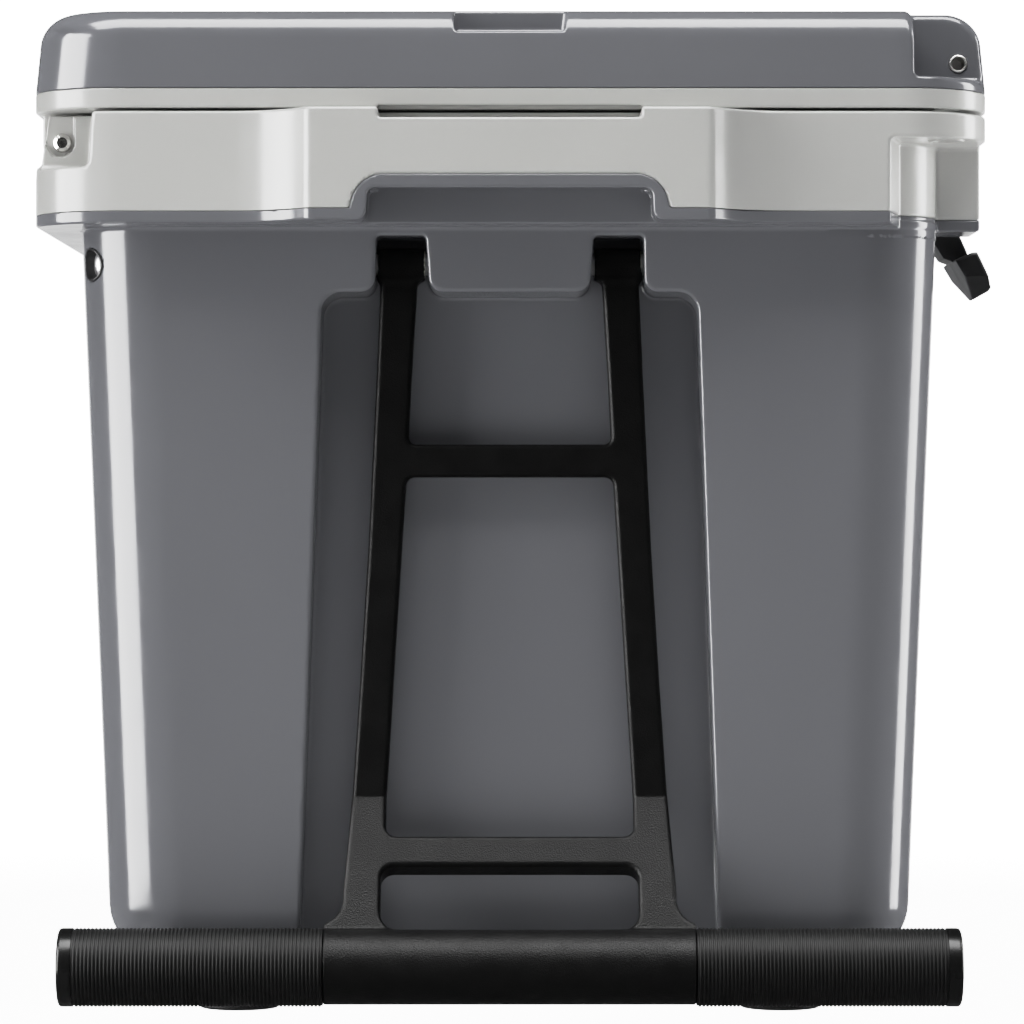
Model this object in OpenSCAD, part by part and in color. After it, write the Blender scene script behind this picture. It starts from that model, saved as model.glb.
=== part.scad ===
// Hard-sided wheeled cooler with a fold-down tow handle, T-latches and
// lift grips moulded into both ends.
// Frame: +Z up, floor at z = 0, -Y is the tow-handle end, +X the latch side.

/* [Body] */
// Width of the tub just under the rim
body_w = 409; // [405:1:413]
// Length of the tub just under the rim
body_l = 630; // [626:1:634]
// Height of the tub's underside above the floor
body_z = 24; // [22:1:26]
// Draft of the tub's four walls, degrees
draft = 2.13; // [1.9:0.01:2.3]
// Radius of the tub's upright corners
body_r = 38; // [34:1:40]
// Radius where walls meet the underside
foot_fillet = 27; // [24:1:28]
// Thickness of the outer moulding
wall = 4; // [3.5:0.1:4.2]

/* [Rim] */
// Width of collar and lid
rim_w = 449; // [446:1:452]
// Length of collar and lid, flat end to flat end
rim_l = 690; // [686:1:694]
// Radius of the rim's upright corners
rim_r = 42; // [38:1:46]
// Height of the underside of the shell's flange
flange_z = 374.2; // [373.6:0.1:374.6]
// Height where the dark shell stops and the light collar starts
collar_z = 379.8; // [379.4:0.1:380.2]
// Height of the collar's top deck
deck_z = 426.6; // [426.2:0.1:426.8]
// How far each lift grip stands out of the rim
grip_out = 22.5; // [21:0.5:24]

/* [Lid] */
// Height of the lid's lower edge
lid_z = 428; // [427.8:0.1:428.4]
// Height where the light lid band meets the dark lid shell
band_z = 437.2; // [436.8:0.1:437.6]
// Height of the lid's top
top_z = 474.6; // [473:0.2:476]
// Radius of the lid's upright corners
lid_r = 42; // [40:1:45]

/* [Wheels] */
// Wheel diameter
wheel_d = 150; // [146:1:152]
// Tyre width
wheel_w = 42; // [38:1:44]
// Distance from the middle of the cooler to the axle
axle_y = 262; // [258:1:266]
// Axle diameter
axle_d = 12; // [10:1:12]

/* [Tow handle] */
// Height of the tow handle's pivot
tow_z = 357.5; // [357:0.5:358]
// How far the pivot sits behind the rim's flat end
tow_in = 50; // [49:1:51]
// Thickness of the tow frame
tow_t = 12.5; // [11:0.5:13]
// Height where the frame bends outwards
bend_z = 103; // [101:1:105]
// How far it bends out, degrees
bend = 30; // [29:0.5:31]
// Height of the grip bar's middle
bar_z = 27.4; // [27:0.2:30]
// Diameter of the grip bar over its sleeves
bar_d = 36.6; // [35:0.2:37]
// Length of the grip bar over its caps
bar_l = 420.8; // [418:0.2:424]

/* [Latches] */
// Distance from the middle of the cooler to each latch
latch_y = 203; // [201:1:205]
// Latch strap width
strap_w = 40; // [34:1:42]
// Width of the latch's pull tab
tab_w = 65; // [60:1:68]

/* [Hidden] */
$fn = 64;

dark = "#6f7075";
light = "#c9c9c6";
black = "#1d1d1e";
eps = 0.01;
gap = 0.3;                       // clearance between fixed neighbours
cx = -5.1;                       // centres the whole on the origin
mid_x = 0.8;                     // the rim stands a little further out on the latch side
rx0 = mid_x - rim_w / 2;
rx1 = mid_x + rim_w / 2;
hl = rim_l / 2;
k = 6;                           // steps in a moulded corner

tow_y = -(hl - tow_in);
tow_back = 62;                   // depth of the handle's recess behind the rim's flat end
tow_u = 39.8;                    // arm slots, inner and outer edge
tow_v = 63;
slot_z = 370;
recess_z = 343.8;
bar_y = tow_y - (bend_z - bar_z) * tan(bend);

hinge_x = -211;
hinge_z = 413.8;
pin_x = 211.5;
pin_z = 451.2;
lug_y = hl - 27;                 // face that carries a hinge screw's head

lug_z = 414.2;
lock_x = 205;
lock_y = hl - 18;
lid_cut_x = 188.5;
lid_cut_y = hl - 30;
lid_cut_z = 443;

well_x = 148;                    // inner wall of each wheel well
well_r = 82;
axle_z = wheel_d / 2;
drain_y = -190;
drain_z = 88.5;

rod_x0 = 189.5;                  // seat of the pivot rod's head in the corner

foot_x = 131;
foot_y = -255;

// ---------- outlines ----------

function arc(px, py, r, a0, a1, n) =
    [for (i = [0:n]) let (a = a0 + (a1 - a0) * i / n) [px + r * cos(a), py + r * sin(a)]];

// rounded rectangle, anticlockwise
function rr(x0, x1, y0, y1, r, n = k) = concat(
    arc(x1 - r, y1 - r, r, 0, 90, n), arc(x0 + r, y1 - r, r, 90, 180, n),
    arc(x0 + r, y0 + r, r, 180, 270, n), arc(x1 - r, y0 + r, r, 270, 360, n));

// a grip runs out in a hollow ramp and ends in a tight corner
grip_us = [0, 0.2, 0.38, 0.54, 0.68, 0.8, 0.88, 0.94, 1];
function ramp(u) = u < 0.88 ? u * u / 0.88 : 1 - 8.333 * (1 - u) * (1 - u);
function swell(x) = grip_out * ramp(min(max((128 - abs(x)) / 37, 0), 1));
grip_xs = concat([for (i = [0:8]) -128 + 37 * grip_us[i]], [for (i = [8:-1:0]) 128 - 37 * grip_us[i]]);

// rim outline with the two grips, set in by t
function rim(t, n = k) = let (r = rim_r - t) concat(
    arc(rx1 - rim_r, hl - rim_r, r, 0, 90, n),
    [for (i = [17:-1:0]) [grip_xs[i], hl - t + swell(grip_xs[i])]],
    arc(rx0 + rim_r, hl - rim_r, r, 90, 180, n),
    arc(rx0 + rim_r, -hl + rim_r, r, 180, 270, n),
    [for (i = [0:17]) [grip_xs[i], -hl + t - swell(grip_xs[i])]],
    arc(rx1 - rim_r, -hl + rim_r, r, 270, 360, n));

function bw(z) = body_w / 2 - (collar_z - z) * tan(draft);
function bl(z) = body_l / 2 - (collar_z - z) * tan(draft);
function tub_pts(z, t) = rr(-bw(z) + t, bw(z) - t, -bl(z) + t, bl(z) - t, max(body_r - t, 3));

module loft(rings) {
    n = len(rings[0][1]);
    m = len(rings);
    polyhedron(
        points = [for (g = rings) for (p = g[1]) [p[0], p[1], g[0]]],
        faces = concat(
            [[for (i = [0:n - 1]) i]],
            [for (j = [0:m - 2]) for (i = [0:n - 1])
                [j * n + i, (j + 1) * n + i, (j + 1) * n + (i + 1) % n, j * n + (i + 1) % n]],
            [[for (i = [n - 1:-1:0]) (m - 1) * n + i]]));
}

module prism(pts, z0, z1) { translate([0, 0, z0]) linear_extrude(z1 - z0) polygon(pts); }

// box by its corners
module box(x0, x1, y0, y1, z0, z1) { translate([x0, y0, z0]) cube([x1 - x0, y1 - y0, z1 - z0]); }

// outline in X-Z, drawn from y0 to y1
module slab_y(y0, y1) { translate([0, y1, 0]) rotate([90, 0, 0]) linear_extrude(y1 - y0) children(); }

module both_ends() { children(); mirror([0, 1, 0]) children(); }
module both_sides() { children(); mirror([1, 0, 0]) children(); }
module rod_x(x0, x1, y, z, r) { translate([x0, y, z]) rotate([0, 90, 0]) cylinder(r = r, h = x1 - x0); }
module rod_y(y0, y1, x, z, r) { translate([x, y0, z]) rotate([-90, 0, 0]) cylinder(r = r, h = y1 - y0); }
module place() { translate([cx, 0, 0]) children(); }

// ---------- shared shapes of the tub ----------

// the tub's outside, or any skin t inside it, up to z1
module tub(t, z1) {
    f = foot_fillet;
    z0 = body_z;
    loft(concat(
        [for (a = [0:22.5:90]) let (z = z0 + t + (f - t) * (1 - cos(a)), s = (f - t) * (1 - sin(a))) [z, tub_pts(z, t + s)]],
        [[z1, tub_pts(z1, t)]]));
}

// recess for the tow handle in the near end, grown by g
module tow_recess(g) {
    slab_y(-hl - 20, -hl + tow_back + g) polygon([
        [-99.8 - g, 0], [-99.8 - g, 44], [-89.2 - g, 332], [-79.4 - g, recess_z + g],
        [-tow_v - 8 - g, recess_z + g], [-tow_v - g, recess_z + 8], [-tow_v - g, slot_z + g],
        [-tow_u + g, slot_z + g], [-tow_u + g, recess_z + 8], [-tow_u + 6 + g, recess_z + g],
        [tow_u - 6 - g, recess_z + g], [tow_u - g, recess_z + 8], [tow_u - g, slot_z + g],
        [tow_v + g, slot_z + g], [tow_v + g, recess_z + 8], [tow_v + 8 + g, recess_z + g],
        [79.4 + g, recess_z + g], [89.2 + g, 332], [99.8 + g, 44], [99.8 + g, 0]]);
}

// wheel well, grown by g
module wells(g) {
    both_sides() union() {
        rod_x(well_x - g, 240, axle_y, axle_z, well_r + g);
        box(well_x - g, 240, axle_y - well_r - g, axle_y + well_r + 20, -5, axle_z);
        box(well_x - g, 240, axle_y, axle_y + well_r + 20, -5, axle_z + well_r + g);
    }
}

// dished place for the drain in the hinge side, grown by g
module drain_dish(g) {
    rod_x(-240, -bw(drain_z) + 14 + g, drain_y, drain_z, 30 + g);
}

// finger space under a lift grip
arch_open = [[-70.8, 340], [-70.8, flange_z], [-67.6, 376.6], [-66, 379.3], [-65.6, 384.5], [-64.2, 387.8], [-61.5, 389.9],
    [61.5, 389.9], [64.2, 387.8], [65.6, 384.5], [66, 379.3], [67.6, 376.6], [70.8, flange_z], [70.8, 340]];
arch_edge = [[-76, 340], [-76, collar_z], [-72.9, 380.9], [-72.2, 387], [-70.4, 391], [-66.7, 394.4], [-61, 395.9],
    [61, 395.9], [66.7, 394.4], [70.4, 391], [72.2, 387], [72.9, 380.9], [76, collar_z], [76, 340]];
pocket_z = 410;

module finger_space() {
    slab_y(-hl - grip_out - 20, -hl + 3.5) polygon(arch_open);
    box(-65, 65, -hl - grip_out + 6, -hl + 3.5, flange_z - 1, pocket_z);
}

// the shell's own upstand around that space, grown by g
module grip_core(g) {
    box(-69 - g, 69 + g, -hl - grip_out + 5 - g, -hl + 7.5 + g, flange_z, pocket_z + 3 + g);
    intersection() {
        slab_y(-hl - grip_out, -hl - grip_out + 5.2) polygon([for (p = arch_edge) [p[0] * (1 + g / 70), p[1] + (p[1] > collar_z + 1 ? g : 0)]]);
        box(-77, 77, -hl - 60, -hl, collar_z - 3, 400);
    }
}

// corner left open below the padlock flange: the tub's upright corner stands
// clear in it; the end wall runs in at a slant
module lock_corner(z0, z1) {
    difference() {
        prism([[177.3, -hl - 20], [177.3, -hl], [183.6, -hl + 30], [183.6, -280], [240, -280], [240, -hl - 20]], z0, z1);
        prism(rr(-bw(collar_z), bw(collar_z), -bl(collar_z), bl(collar_z), body_r), z0 - 1, z1 + 1);
    }
}

// channel in the collar and shell flange that lets one latch hang and lift clear
bay_h = tab_w / 2 + 1.6;
module latch_bay(g) {
    box(206.2 - g, 240, -latch_y - bay_h - g, -latch_y + bay_h + g, flange_z - 1, lid_z + 10);
}

// corner recess in front of a hinge screw, and the notch that takes the lid's ear
module hinge_face(g) { box(-240, -193 + g, -hl - 20, -lug_y + g, 401 - g, 440); }
module hinge_notch(g) { box(-240, -199.8 + g, -lug_y + 10 - g, -lug_y + 38 + g, 402 - g, 440); }

// relief along the hinge side, so that the lid's edge can roll past
module hinge_relief() {
    slab_y(-lug_y, lug_y) polygon([[rx0 - 3, 402.3], [-219.8, 402.3], [-217, 425], [-216.8, deck_z + 3], [rx0 - 3, deck_z + 3]]);
}

// ---------- tub ----------

module body_shell() {
    color(dark) place() difference() {
        union() {
            difference() {
                union() {
                    tub(0, flange_z + 2);
                    prism(rim(0.02), flange_z, collar_z);
                }
                tub(wall, collar_z + 1);
                prism(rim(wall + 0.02), flange_z + 3.5, collar_z + 1);
            }
            intersection() {
                tub(0.01, flange_z + 3);
                union() { tow_recess(wall); wells(wall); drain_dish(wall); rod_x(-230, -rod_x0 + 4, tow_y, tow_z, 12.5); }
            }
            both_ends() grip_core(0);
            intersection() {
                prism(rim(0.02), flange_z, collar_z);
                union() {
                    both_ends() difference() {
                        box(173, 240, -hl - 20, -273, flange_z, collar_z);
                        tub(wall, collar_z + 1);
                    }
                    both_ends() latch_bay(3.5);
                }
            }
        }
        tow_recess(0);
        wells(0);
        drain_dish(0);
        both_ends() finger_space();
        both_ends() lock_corner(flange_z - 1, collar_z + 1);
        both_ends() latch_bay(0);
        rod_x(-230, 192, tow_y, tow_z, 5.2);
        rod_x(-230, -rod_x0, tow_y, tow_z, 9);
        rod_x(-170, 170, axle_y, axle_z, axle_d / 2 + 0.1);
        rod_x(-200, -170, drain_y, drain_z, 12.2);
        both_sides() translate([foot_x, foot_y, body_z - 2]) cylinder(r = 2.6, h = 10);
    }
}

module mouth(t, z0, z1) { prism(rr(-163 - t, 163 + t, -274 - t, 274 + t, 26 + t), z0, z1); }

module collar() {
    color(light) place() difference() {
        union() {
            difference() {
                prism(rim(0), collar_z, deck_z);
                prism(rim(wall), collar_z - 1, deck_z - 4);
            }
            intersection() {
                prism(rim(0.01), collar_z, deck_z);
                union() {
                    both_ends() difference() {
                        box(173, 240, -hl - 20, -273, collar_z, deck_z);
                        prism(rr(-bw(collar_z) + 4, bw(collar_z) - 4, -bl(collar_z) + 4, bl(collar_z) - 4, body_r - 4), collar_z - 1, lug_z);
                    }
                    both_ends() latch_bay(3.5);
                    both_ends() hinge_face(10);
                    both_ends() hinge_notch(4);
                    both_ends() translate([lock_x, -lock_y, lug_z - 1]) cylinder(r = 8.5, h = 3);
                    box(rx0, -199, -lug_y, lug_y, 398, deck_z);
                }
            }
        }
        mouth(3.3, collar_z - 1, deck_z + 1);
        both_ends() grip_core(gap);
        both_ends() slab_y(-hl - grip_out - 20, -hl - 12) polygon([for (p = arch_edge) [p[0], p[1] + (p[1] > collar_z + 1 ? gap : 0)]]);
        both_ends() difference() {
            lock_corner(collar_z - 1, lug_z);
            translate([lock_x, -lock_y, lug_z - 1]) cylinder(r = 8.5, h = 3);
        }
        both_ends() latch_bay(0);
        both_ends() hinge_face(0);
        both_ends() hinge_notch(0);
        hinge_relief();
        both_ends() box(-61, 61, -hl - 60, -hl + 10, deck_z - 5, deck_z + 1);
        both_ends() rod_y(-lug_y - 1, -lug_y + 52, hinge_x, hinge_z, 3.05);
        both_ends() translate([0, -lug_y - 0.01, 0]) rod_y(0, 3.4, hinge_x, hinge_z, 6.7);
        both_ends() box(hinge_x - 6.7, hinge_x + 6.7, -lug_y - 1, -lug_y + 3.4, hinge_z, deck_z + 1);
        both_ends() translate([lock_x, -lock_y, lug_z - 2]) cylinder(r = 5.5, h = 20);
    }
}

// wheel-end step of the inside: keeps the liner clear of wells and axle
step_y = 150;
step_z = 188;

module liner_form(t, z1) {
    difference() {
        loft([[66 - t, rr(-140 - t, 140 + t, -250 - t, 250 + t, 22 + t)],
              [72 - t, rr(-150 - t, 150 + t, -261 - t, 261 + t, 24 + t)],
              [z1, rr(-163 - t, 163 + t, -274 - t, 274 + t, 26 + t)]]);
        box(-200, 200, step_y + t, 300, 40, step_z - t);
    }
}

module liner() {
    color("#d6d6d3") place() difference() {
        liner_form(3, 425.8);
        liner_form(0, 426.8);
        rod_x(-200, -130, drain_y, drain_z, 12.2);
    }
}

module body_foam() {
    color("#e9dfb4") place() difference() {
        union() {
            tub(wall + gap, flange_z + 5);
            prism(rim(wall + gap), flange_z + 3.5 + gap, deck_z - 4 - gap);
        }
        liner_form(3 + gap, deck_z);
        tow_recess(wall + gap);
        wells(wall + gap);
        drain_dish(wall + gap);
        both_ends() grip_core(gap + 0.3);
        both_ends() difference() {
            box(173 - gap, 240, -hl - 20, -273 + gap, flange_z - 5, deck_z);
            prism(rr(-bw(collar_z) + 4 + gap, bw(collar_z) - 4 - gap, -bl(collar_z) + 4 + gap, bl(collar_z) - 4 - gap, body_r - 4 - gap), flange_z - 6, lug_z - gap);
        }
        both_ends() latch_bay(3.5 + gap);
        both_ends() hinge_face(10 + gap);
        both_ends() hinge_notch(4 + gap);
        box(rx0 - 1, -199 + gap, -lug_y - gap, lug_y + gap, 398 - gap, deck_z);
        both_ends() rod_y(-lug_y - 1, -lug_y + 60, hinge_x, hinge_z, 5);
        rod_x(-230, 215, tow_y, tow_z, 13);
        rod_x(-170, 170, axle_y, axle_z, 10.3);
        rod_x(-200, -130, drain_y, drain_z, 20);
        both_sides() translate([foot_x, foot_y, body_z]) cylinder(r = 5, h = 30);
        both_ends() box(-61.3, 61.3, -hl - 60, -hl + 14.5, deck_z - 9.5, deck_z + 1);
        both_ends() slab_y(-hl - grip_out - 20, -hl - 12) polygon([for (p = arch_edge) [p[0] * 1.06, p[1] + 4.5]]);
        both_ends() translate([lock_x, -lock_y, lug_z - 10]) cylinder(r = 12, h = 30);
    }
}

module foot() {
    translate([foot_x, foot_y, 0]) rotate_extrude()
        polygon([[7.2, 0], [18.5, 0], [20.5, 1.2], [24.6, 20], [25, 23.7], [2.9, 23.7], [2.9, 9], [7.2, 9]]);
}
module foot_left() { color(black) place() mirror([1, 0, 0]) foot(); }
module foot_right() { color(black) place() foot(); }

module foot_screws() {
    color("silver") place() both_sides() translate([foot_x, foot_y, 0]) difference() {
        union() {
            translate([0, 0, 5]) cylinder(r = 6.5, h = 3.9);
            translate([0, 0, 8.9]) cylinder(r = 2.55, h = 18);
        }
        translate([0, 0, 4]) cylinder(r = 2, h = 3, $fn = 6);
    }
}

// ---------- wheels ----------

hub_x = 152.4;

module axle() {
    color("silver") place() rod_x(-197, 197, axle_y, axle_z, axle_d / 2);
}

module axle_sleeve() {
    color("dimgray") place() difference() {
        rod_x(-143.7, 143.7, axle_y, axle_z, 9.9);
        rod_x(-150, 150, axle_y, axle_z, axle_d / 2 + 0.1);
    }
}

module axle_washers() {
    color("silver") place() both_sides() difference() {
        rod_x(well_x + 0.1, well_x + 2.1, axle_y, axle_z, 13);
        rod_x(well_x - 5, well_x + 5, axle_y, axle_z, axle_d / 2 + 0.05);
    }
}

module axle_caps() {
    color("silver") place() both_sides() difference() {
        union() {
            rod_x(192.6, 194.6, axle_y, axle_z, 12.5);
            rod_x(194.6, 199.5, axle_y, axle_z, 9);
        }
        rod_x(190, 197, axle_y, axle_z, axle_d / 2 + 0.01);
    }
}

module about_axle() { translate([0, axle_y, axle_z]) rotate([0, 90, 0]) children(); }

module hub() {
    w = wheel_w;
    about_axle() difference() {
        union() {
            rotate_extrude() polygon([[9, hub_x], [16, hub_x], [18, hub_x + 15], [54, hub_x + 15], [54, hub_x + 1],
                [59, hub_x + 1], [59, hub_x + w - 1], [54, hub_x + w - 1], [54, hub_x + 23], [19, hub_x + 23],
                [17, hub_x + w - 3], [9, hub_x + w - 3]]);
            for (a = [0:60:300]) rotate([0, 0, a]) translate([17, -3, hub_x + 4]) cube([38.5, 6, w - 8]);
        }
        for (a = [30:60:330]) rotate([0, 0, a]) translate([37, 0, hub_x]) cylinder(r = 10.5, h = w);
    }
}
module wheel_hub_left() { color("#3a3b3d") place() mirror([1, 0, 0]) hub(); }
module wheel_hub_right() { color("#3a3b3d") place() hub(); }

module tyre() {
    r = wheel_d / 2;
    about_axle() rotate_extrude() polygon([
        [59.02, hub_x - 0.5], [r - 7, hub_x], [r - 2, hub_x + 3.5], [r, hub_x + 8],
        for (i = [0:3]) each [[r, hub_x + 10.2 + 6 * i], [r - 2.5, hub_x + 10.8 + 6 * i], [r - 2.5, hub_x + 13 + 6 * i], [r, hub_x + 13.6 + 6 * i]],
        [r, hub_x + wheel_w - 8], [r - 2, hub_x + wheel_w - 3.5], [r - 7, hub_x + wheel_w], [59.02, hub_x + wheel_w + 0.5]]);
}
module tyre_left() { color(black) place() mirror([1, 0, 0]) tyre(); }
module tyre_right() { color(black) place() tyre(); }

module wheel_bush() {
    about_axle() rotate_extrude() polygon([[6.06, hub_x - 1.6], [12, hub_x - 1.6], [12, hub_x - 0.02], [8.98, hub_x - 0.02],
        [8.98, hub_x + wheel_w - 4], [6.06, hub_x + wheel_w - 4]]);
}
module wheel_bush_left() { color("ivory") place() mirror([1, 0, 0]) wheel_bush(); }
module wheel_bush_right() { color("ivory") place() wheel_bush(); }

// ---------- drain ----------

dr_x = -bw(drain_z) + 14;        // outer face of the drain's dish

module about_drain() { translate([0, drain_y, drain_z]) rotate([0, 90, 0]) children(); }

module drain_body() {
    color(black) place() about_drain() rotate_extrude() polygon([[8, dr_x - 6], [12, dr_x - 6], [12, dr_x - 2.2], [17, dr_x - 2.2],
        [17, dr_x - 0.1], [12, dr_x - 0.1], [12, dr_x + 38], [8, dr_x + 38]]);
}

module drain_nut() {
    color(black) place() about_drain() difference() {
        translate([0, 0, -147.6]) cylinder(r = 17, h = 6, $fn = 6);
        translate([0, 0, -150]) cylinder(r = 12.06, h = 12);
    }
}

module drain_seal() {
    color("#444444") place() about_drain() difference() {
        translate([0, 0, -149.6]) cylinder(r = 16, h = 1.8);
        translate([0, 0, -151]) cylinder(r = 12.2, h = 5);
    }
}

module drain_cap() {
    color(black) place() about_drain() difference() {
        union() {
            translate([0, 0, dr_x - 12]) cylinder(r = 16, h = 9.5);
            translate([-2.5, -14, dr_x - 17.5]) cube([5, 28, 6]);
        }
        translate([0, 0, dr_x - 8]) cylinder(r = 12.4, h = 7);
    }
}

// ---------- lid ----------

function lid_pts(t) = rr(rx0 + t, rx1 - t, -hl + t, hl - t, lid_r - t);
lid_lean = 2.9;
lid_round = 14;

module lid_form(t, z0) {
    r = lid_round - t * 0.6;
    zt = top_z - t;
    loft(concat([[z0, lid_pts(t)], [zt - r, lid_pts(t + lid_lean)]],
        [for (a = [22.5:22.5:90]) [zt - r + r * sin(a), lid_pts(t + lid_lean + r * (1 - cos(a)))]]));
}

module lid_corner(g) { box(lid_cut_x - g, 240, -hl - 20, -lid_cut_y + g, lid_cut_z - g, top_z + 5); }
slot_h = strap_w / 2 + 0.6;
module lid_slot(g) { box(202 - g, 240, -latch_y - slot_h - g, -latch_y + slot_h + g, lid_z - 3, 464 + g); }
module lid_scoop(g) { slab_y(-hl - 5, -hl + 14 + g) polygon([[-25.4 - g, top_z - 10.6 - g], [25.4 + g, top_z - 10.6 - g], [27.2 + g, top_z + 5], [-27.2 - g, top_z + 5]]); }

module lid_shell() {
    color(dark) place() difference() {
        union() {
            difference() {
                lid_form(0, band_z);
                lid_form(wall, band_z - 1);
            }
            intersection() {
                lid_form(0.01, band_z);
                both_ends() union() { lid_corner(5.5); lid_slot(4); lid_scoop(3.5); }
            }
        }
        both_ends() union() { lid_corner(0); lid_slot(0); lid_scoop(0); }
        prism(rr(-150, 150, -262, 262, 30), top_z - 1.5, top_z + 1);
        both_ends() rod_y(-hl, -latch_y + slot_h + 4.4, pin_x, pin_z, 4.27);
        both_ends() translate([lock_x, -lock_y, band_z - 5]) cylinder(r = 5.5, h = 20);
    }
}

module lid_pan() {
    color(light) place() difference() {
        union() {
            difference() {
                prism(lid_pts(0), lid_z, band_z - 0.05);
                prism(lid_pts(wall), lid_z + 3, band_z + 1);
            }
            loft([[411, rr(-148, 148, -259, 259, 20)], [414, rr(-152, 152, -263, 263, 22)], [lid_z + 1, rr(-157, 157, -268, 268, 24)]]);
            intersection() {
                prism(lid_pts(0.01), lid_z, band_z - 0.05);
                both_ends() union() {
                    box(lid_cut_x - 6, 240, -hl - 20, -lid_cut_y + 6, lid_z, band_z);
                    lid_slot(4);
                    box(-240, -198, -lug_y + 6, -lug_y + 42, lid_z, band_z);
                }
            }
            // ears that drop to the hinge line
            both_ends() {
                rod_y(-lug_y + 10.4, -lug_y + 37.6, hinge_x, hinge_z, 9);
                box(hinge_x - 9, hinge_x + 9, -lug_y + 10.4, -lug_y + 37.6, hinge_z, lid_z + 1);
            }
        }
        loft([[414, rr(-145, 145, -256, 256, 17)], [417, rr(-149, 149, -260, 260, 19)], [lid_z + 4, rr(-154, 154, -265, 265, 21)]]);
        // gasket groove
        difference() {
            prism(rr(-176, 176, -287, 287, 40), lid_z - 1, lid_z + 1.6);
            prism(rr(-169, 169, -280, 280, 34), lid_z - 2, lid_z + 2);
        }
        both_ends() lid_slot(0);
        both_ends() rod_y(-lug_y, -lug_y + 50, hinge_x, hinge_z, 4.5);
        both_ends() translate([lock_x, -lock_y, lid_z - 5]) cylinder(r = 5.5, h = 20);
    }
}

module lid_foam() {
    color("#e9dfb4") place() difference() {
        union() {
            lid_form(wall + gap, lid_z + 3 + gap);
            loft([[414 + gap, rr(-145 + gap, 145 - gap, -256 + gap, 256 - gap, 17)], [417, rr(-149 + gap, 149 - gap, -260 + gap, 260 - gap, 19)], [lid_z + 4, rr(-154 + gap, 154 - gap, -265 + gap, 265 - gap, 21)]]);
        }
        both_ends() union() {
            lid_corner(5.5 + gap);
            lid_slot(4 + gap);
            lid_scoop(3.5 + gap);
            box(lid_cut_x - 6 - gap, 240, -hl - 20, -lid_cut_y + 6 + gap, lid_z, band_z + gap);
            box(-240, -198 + gap, -lug_y + 6 - gap, -lug_y + 42 + gap, lid_z, band_z + gap);
            rod_y(-hl, -latch_y + slot_h + 7, pin_x, pin_z, 5);
        }
        prism(rr(-154, 154, -266, 266, 34), top_z - 1.5 - wall - gap, top_z + 1);
    }
}

module lid_gasket() {
    color("#3c3c3e") place() difference() {
        prism(rr(-175.8, 175.8, -286.8, 286.8, 39.8), deck_z + 0.15, lid_z + 1.5);
        prism(rr(-169.2, 169.2, -280.2, 280.2, 34.2), deck_z - 1, lid_z + 3);
    }
}

module hinge_screws() {
    color("silver") place() both_ends() difference() {
        union() {
            translate([hinge_x, -lug_y + 0.2, hinge_z]) rotate([-90, 0, 0]) rotate_extrude()
                polygon([[0, 0], [2.6, 0], [4, 0.8], [4.6, 2.4], [4.6, 3.15], [3, 3.15], [3, 44], [0, 44]]);
        }
        translate([hinge_x, -lug_y - 1, hinge_z]) rotate([-90, 0, 0]) cylinder(r = 1.9, h = 3, $fn = 6);
    }
}

module hinge_bushes() {
    color("ivory") place() both_ends() difference() {
        rod_y(-lug_y + 10.5, -lug_y + 37.5, hinge_x, hinge_z, 4.48);
        rod_y(-lug_y, -lug_y + 50, hinge_x, hinge_z, 3.06);
    }
}

module latch_pins() {
    color("silver") place() both_ends() rod_y(-lid_cut_y - 0.6, -latch_y + slot_h + 4, pin_x, pin_z, 4.25);
}

// ---------- latches ----------

module latch() {
    w = strap_w / 2;
    translate([0, -latch_y, 0]) difference() {
        union() {
            rod_y(-w, w, pin_x, pin_z, 8.3);
            slab_y(-w, w) polygon([[pin_x - 3.5, pin_z], [pin_x + 5, pin_z], [217.5, 432], [217.5, 383], [220.3, 378], [209, 378],
                [209.3, 383], [209.3, 432]]);
            // the strap narrows toward the pull tab
            slab_y(-w + 4, w - 4) polygon([[220.3, 378], [222.8, 373.1], [225.7, 366.6], [217.6, 363.2], [214, 364.7], [208.6, 373.1], [209, 378]]);
            // pull tab, hung out at a slant, its lower corners cut back
            intersection() {
                slab_y(-tab_w / 2, tab_w / 2) polygon([[217.6, 363.2], [225.7, 366.6], [229.1, 366.9], [230.6, 364.2],
                    [234.1, 356], [234.1, 349.5], [228.9, 345]]);
                rotate([90, 0, 90]) linear_extrude(260) polygon([[-tab_w / 2, 370], [-tab_w / 2, 355.5], [-6, 344], [6, 344], [tab_w / 2, 355.5], [tab_w / 2, 370]]);
            }
        }
        rod_y(-w - 5, w + 5, pin_x, pin_z, 4.3);
    }
}
module latch_near() { color(black) place() latch(); }
module latch_far() { color(black) place() mirror([0, 1, 0]) latch(); }

// ---------- tow handle ----------

module tow_upper() {
    // upright part, outline in X-Z
    difference() {
        polygon([[-75.1, bend_z - 4], [-74.8, bend_z + 1], [-71.4, 155], [-67.2, 223], [-63.2, 308], [-61.4, 347.5], [-44.5, 347.5], [44.5, 347.5], [61.4, 347.5], [63.2, 308], [67.2, 223], [71.4, 155], [74.8, bend_z + 1], [75.1, bend_z - 4]]);
        polygon([[-48.1, 281], [-47.5, 305], [-44.4, 348], [44.4, 348], [47.5, 305], [48.1, 281], [45, 272], [-45, 272]]);
        polygon([[-49.4, 251], [-46.5, 256.2], [46.5, 256.2], [49.4, 251], [58.4, bend_z + 3], [58.8, bend_z - 4], [-58.8, bend_z - 4], [-58.4, bend_z + 3]]);
    }
}

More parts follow.
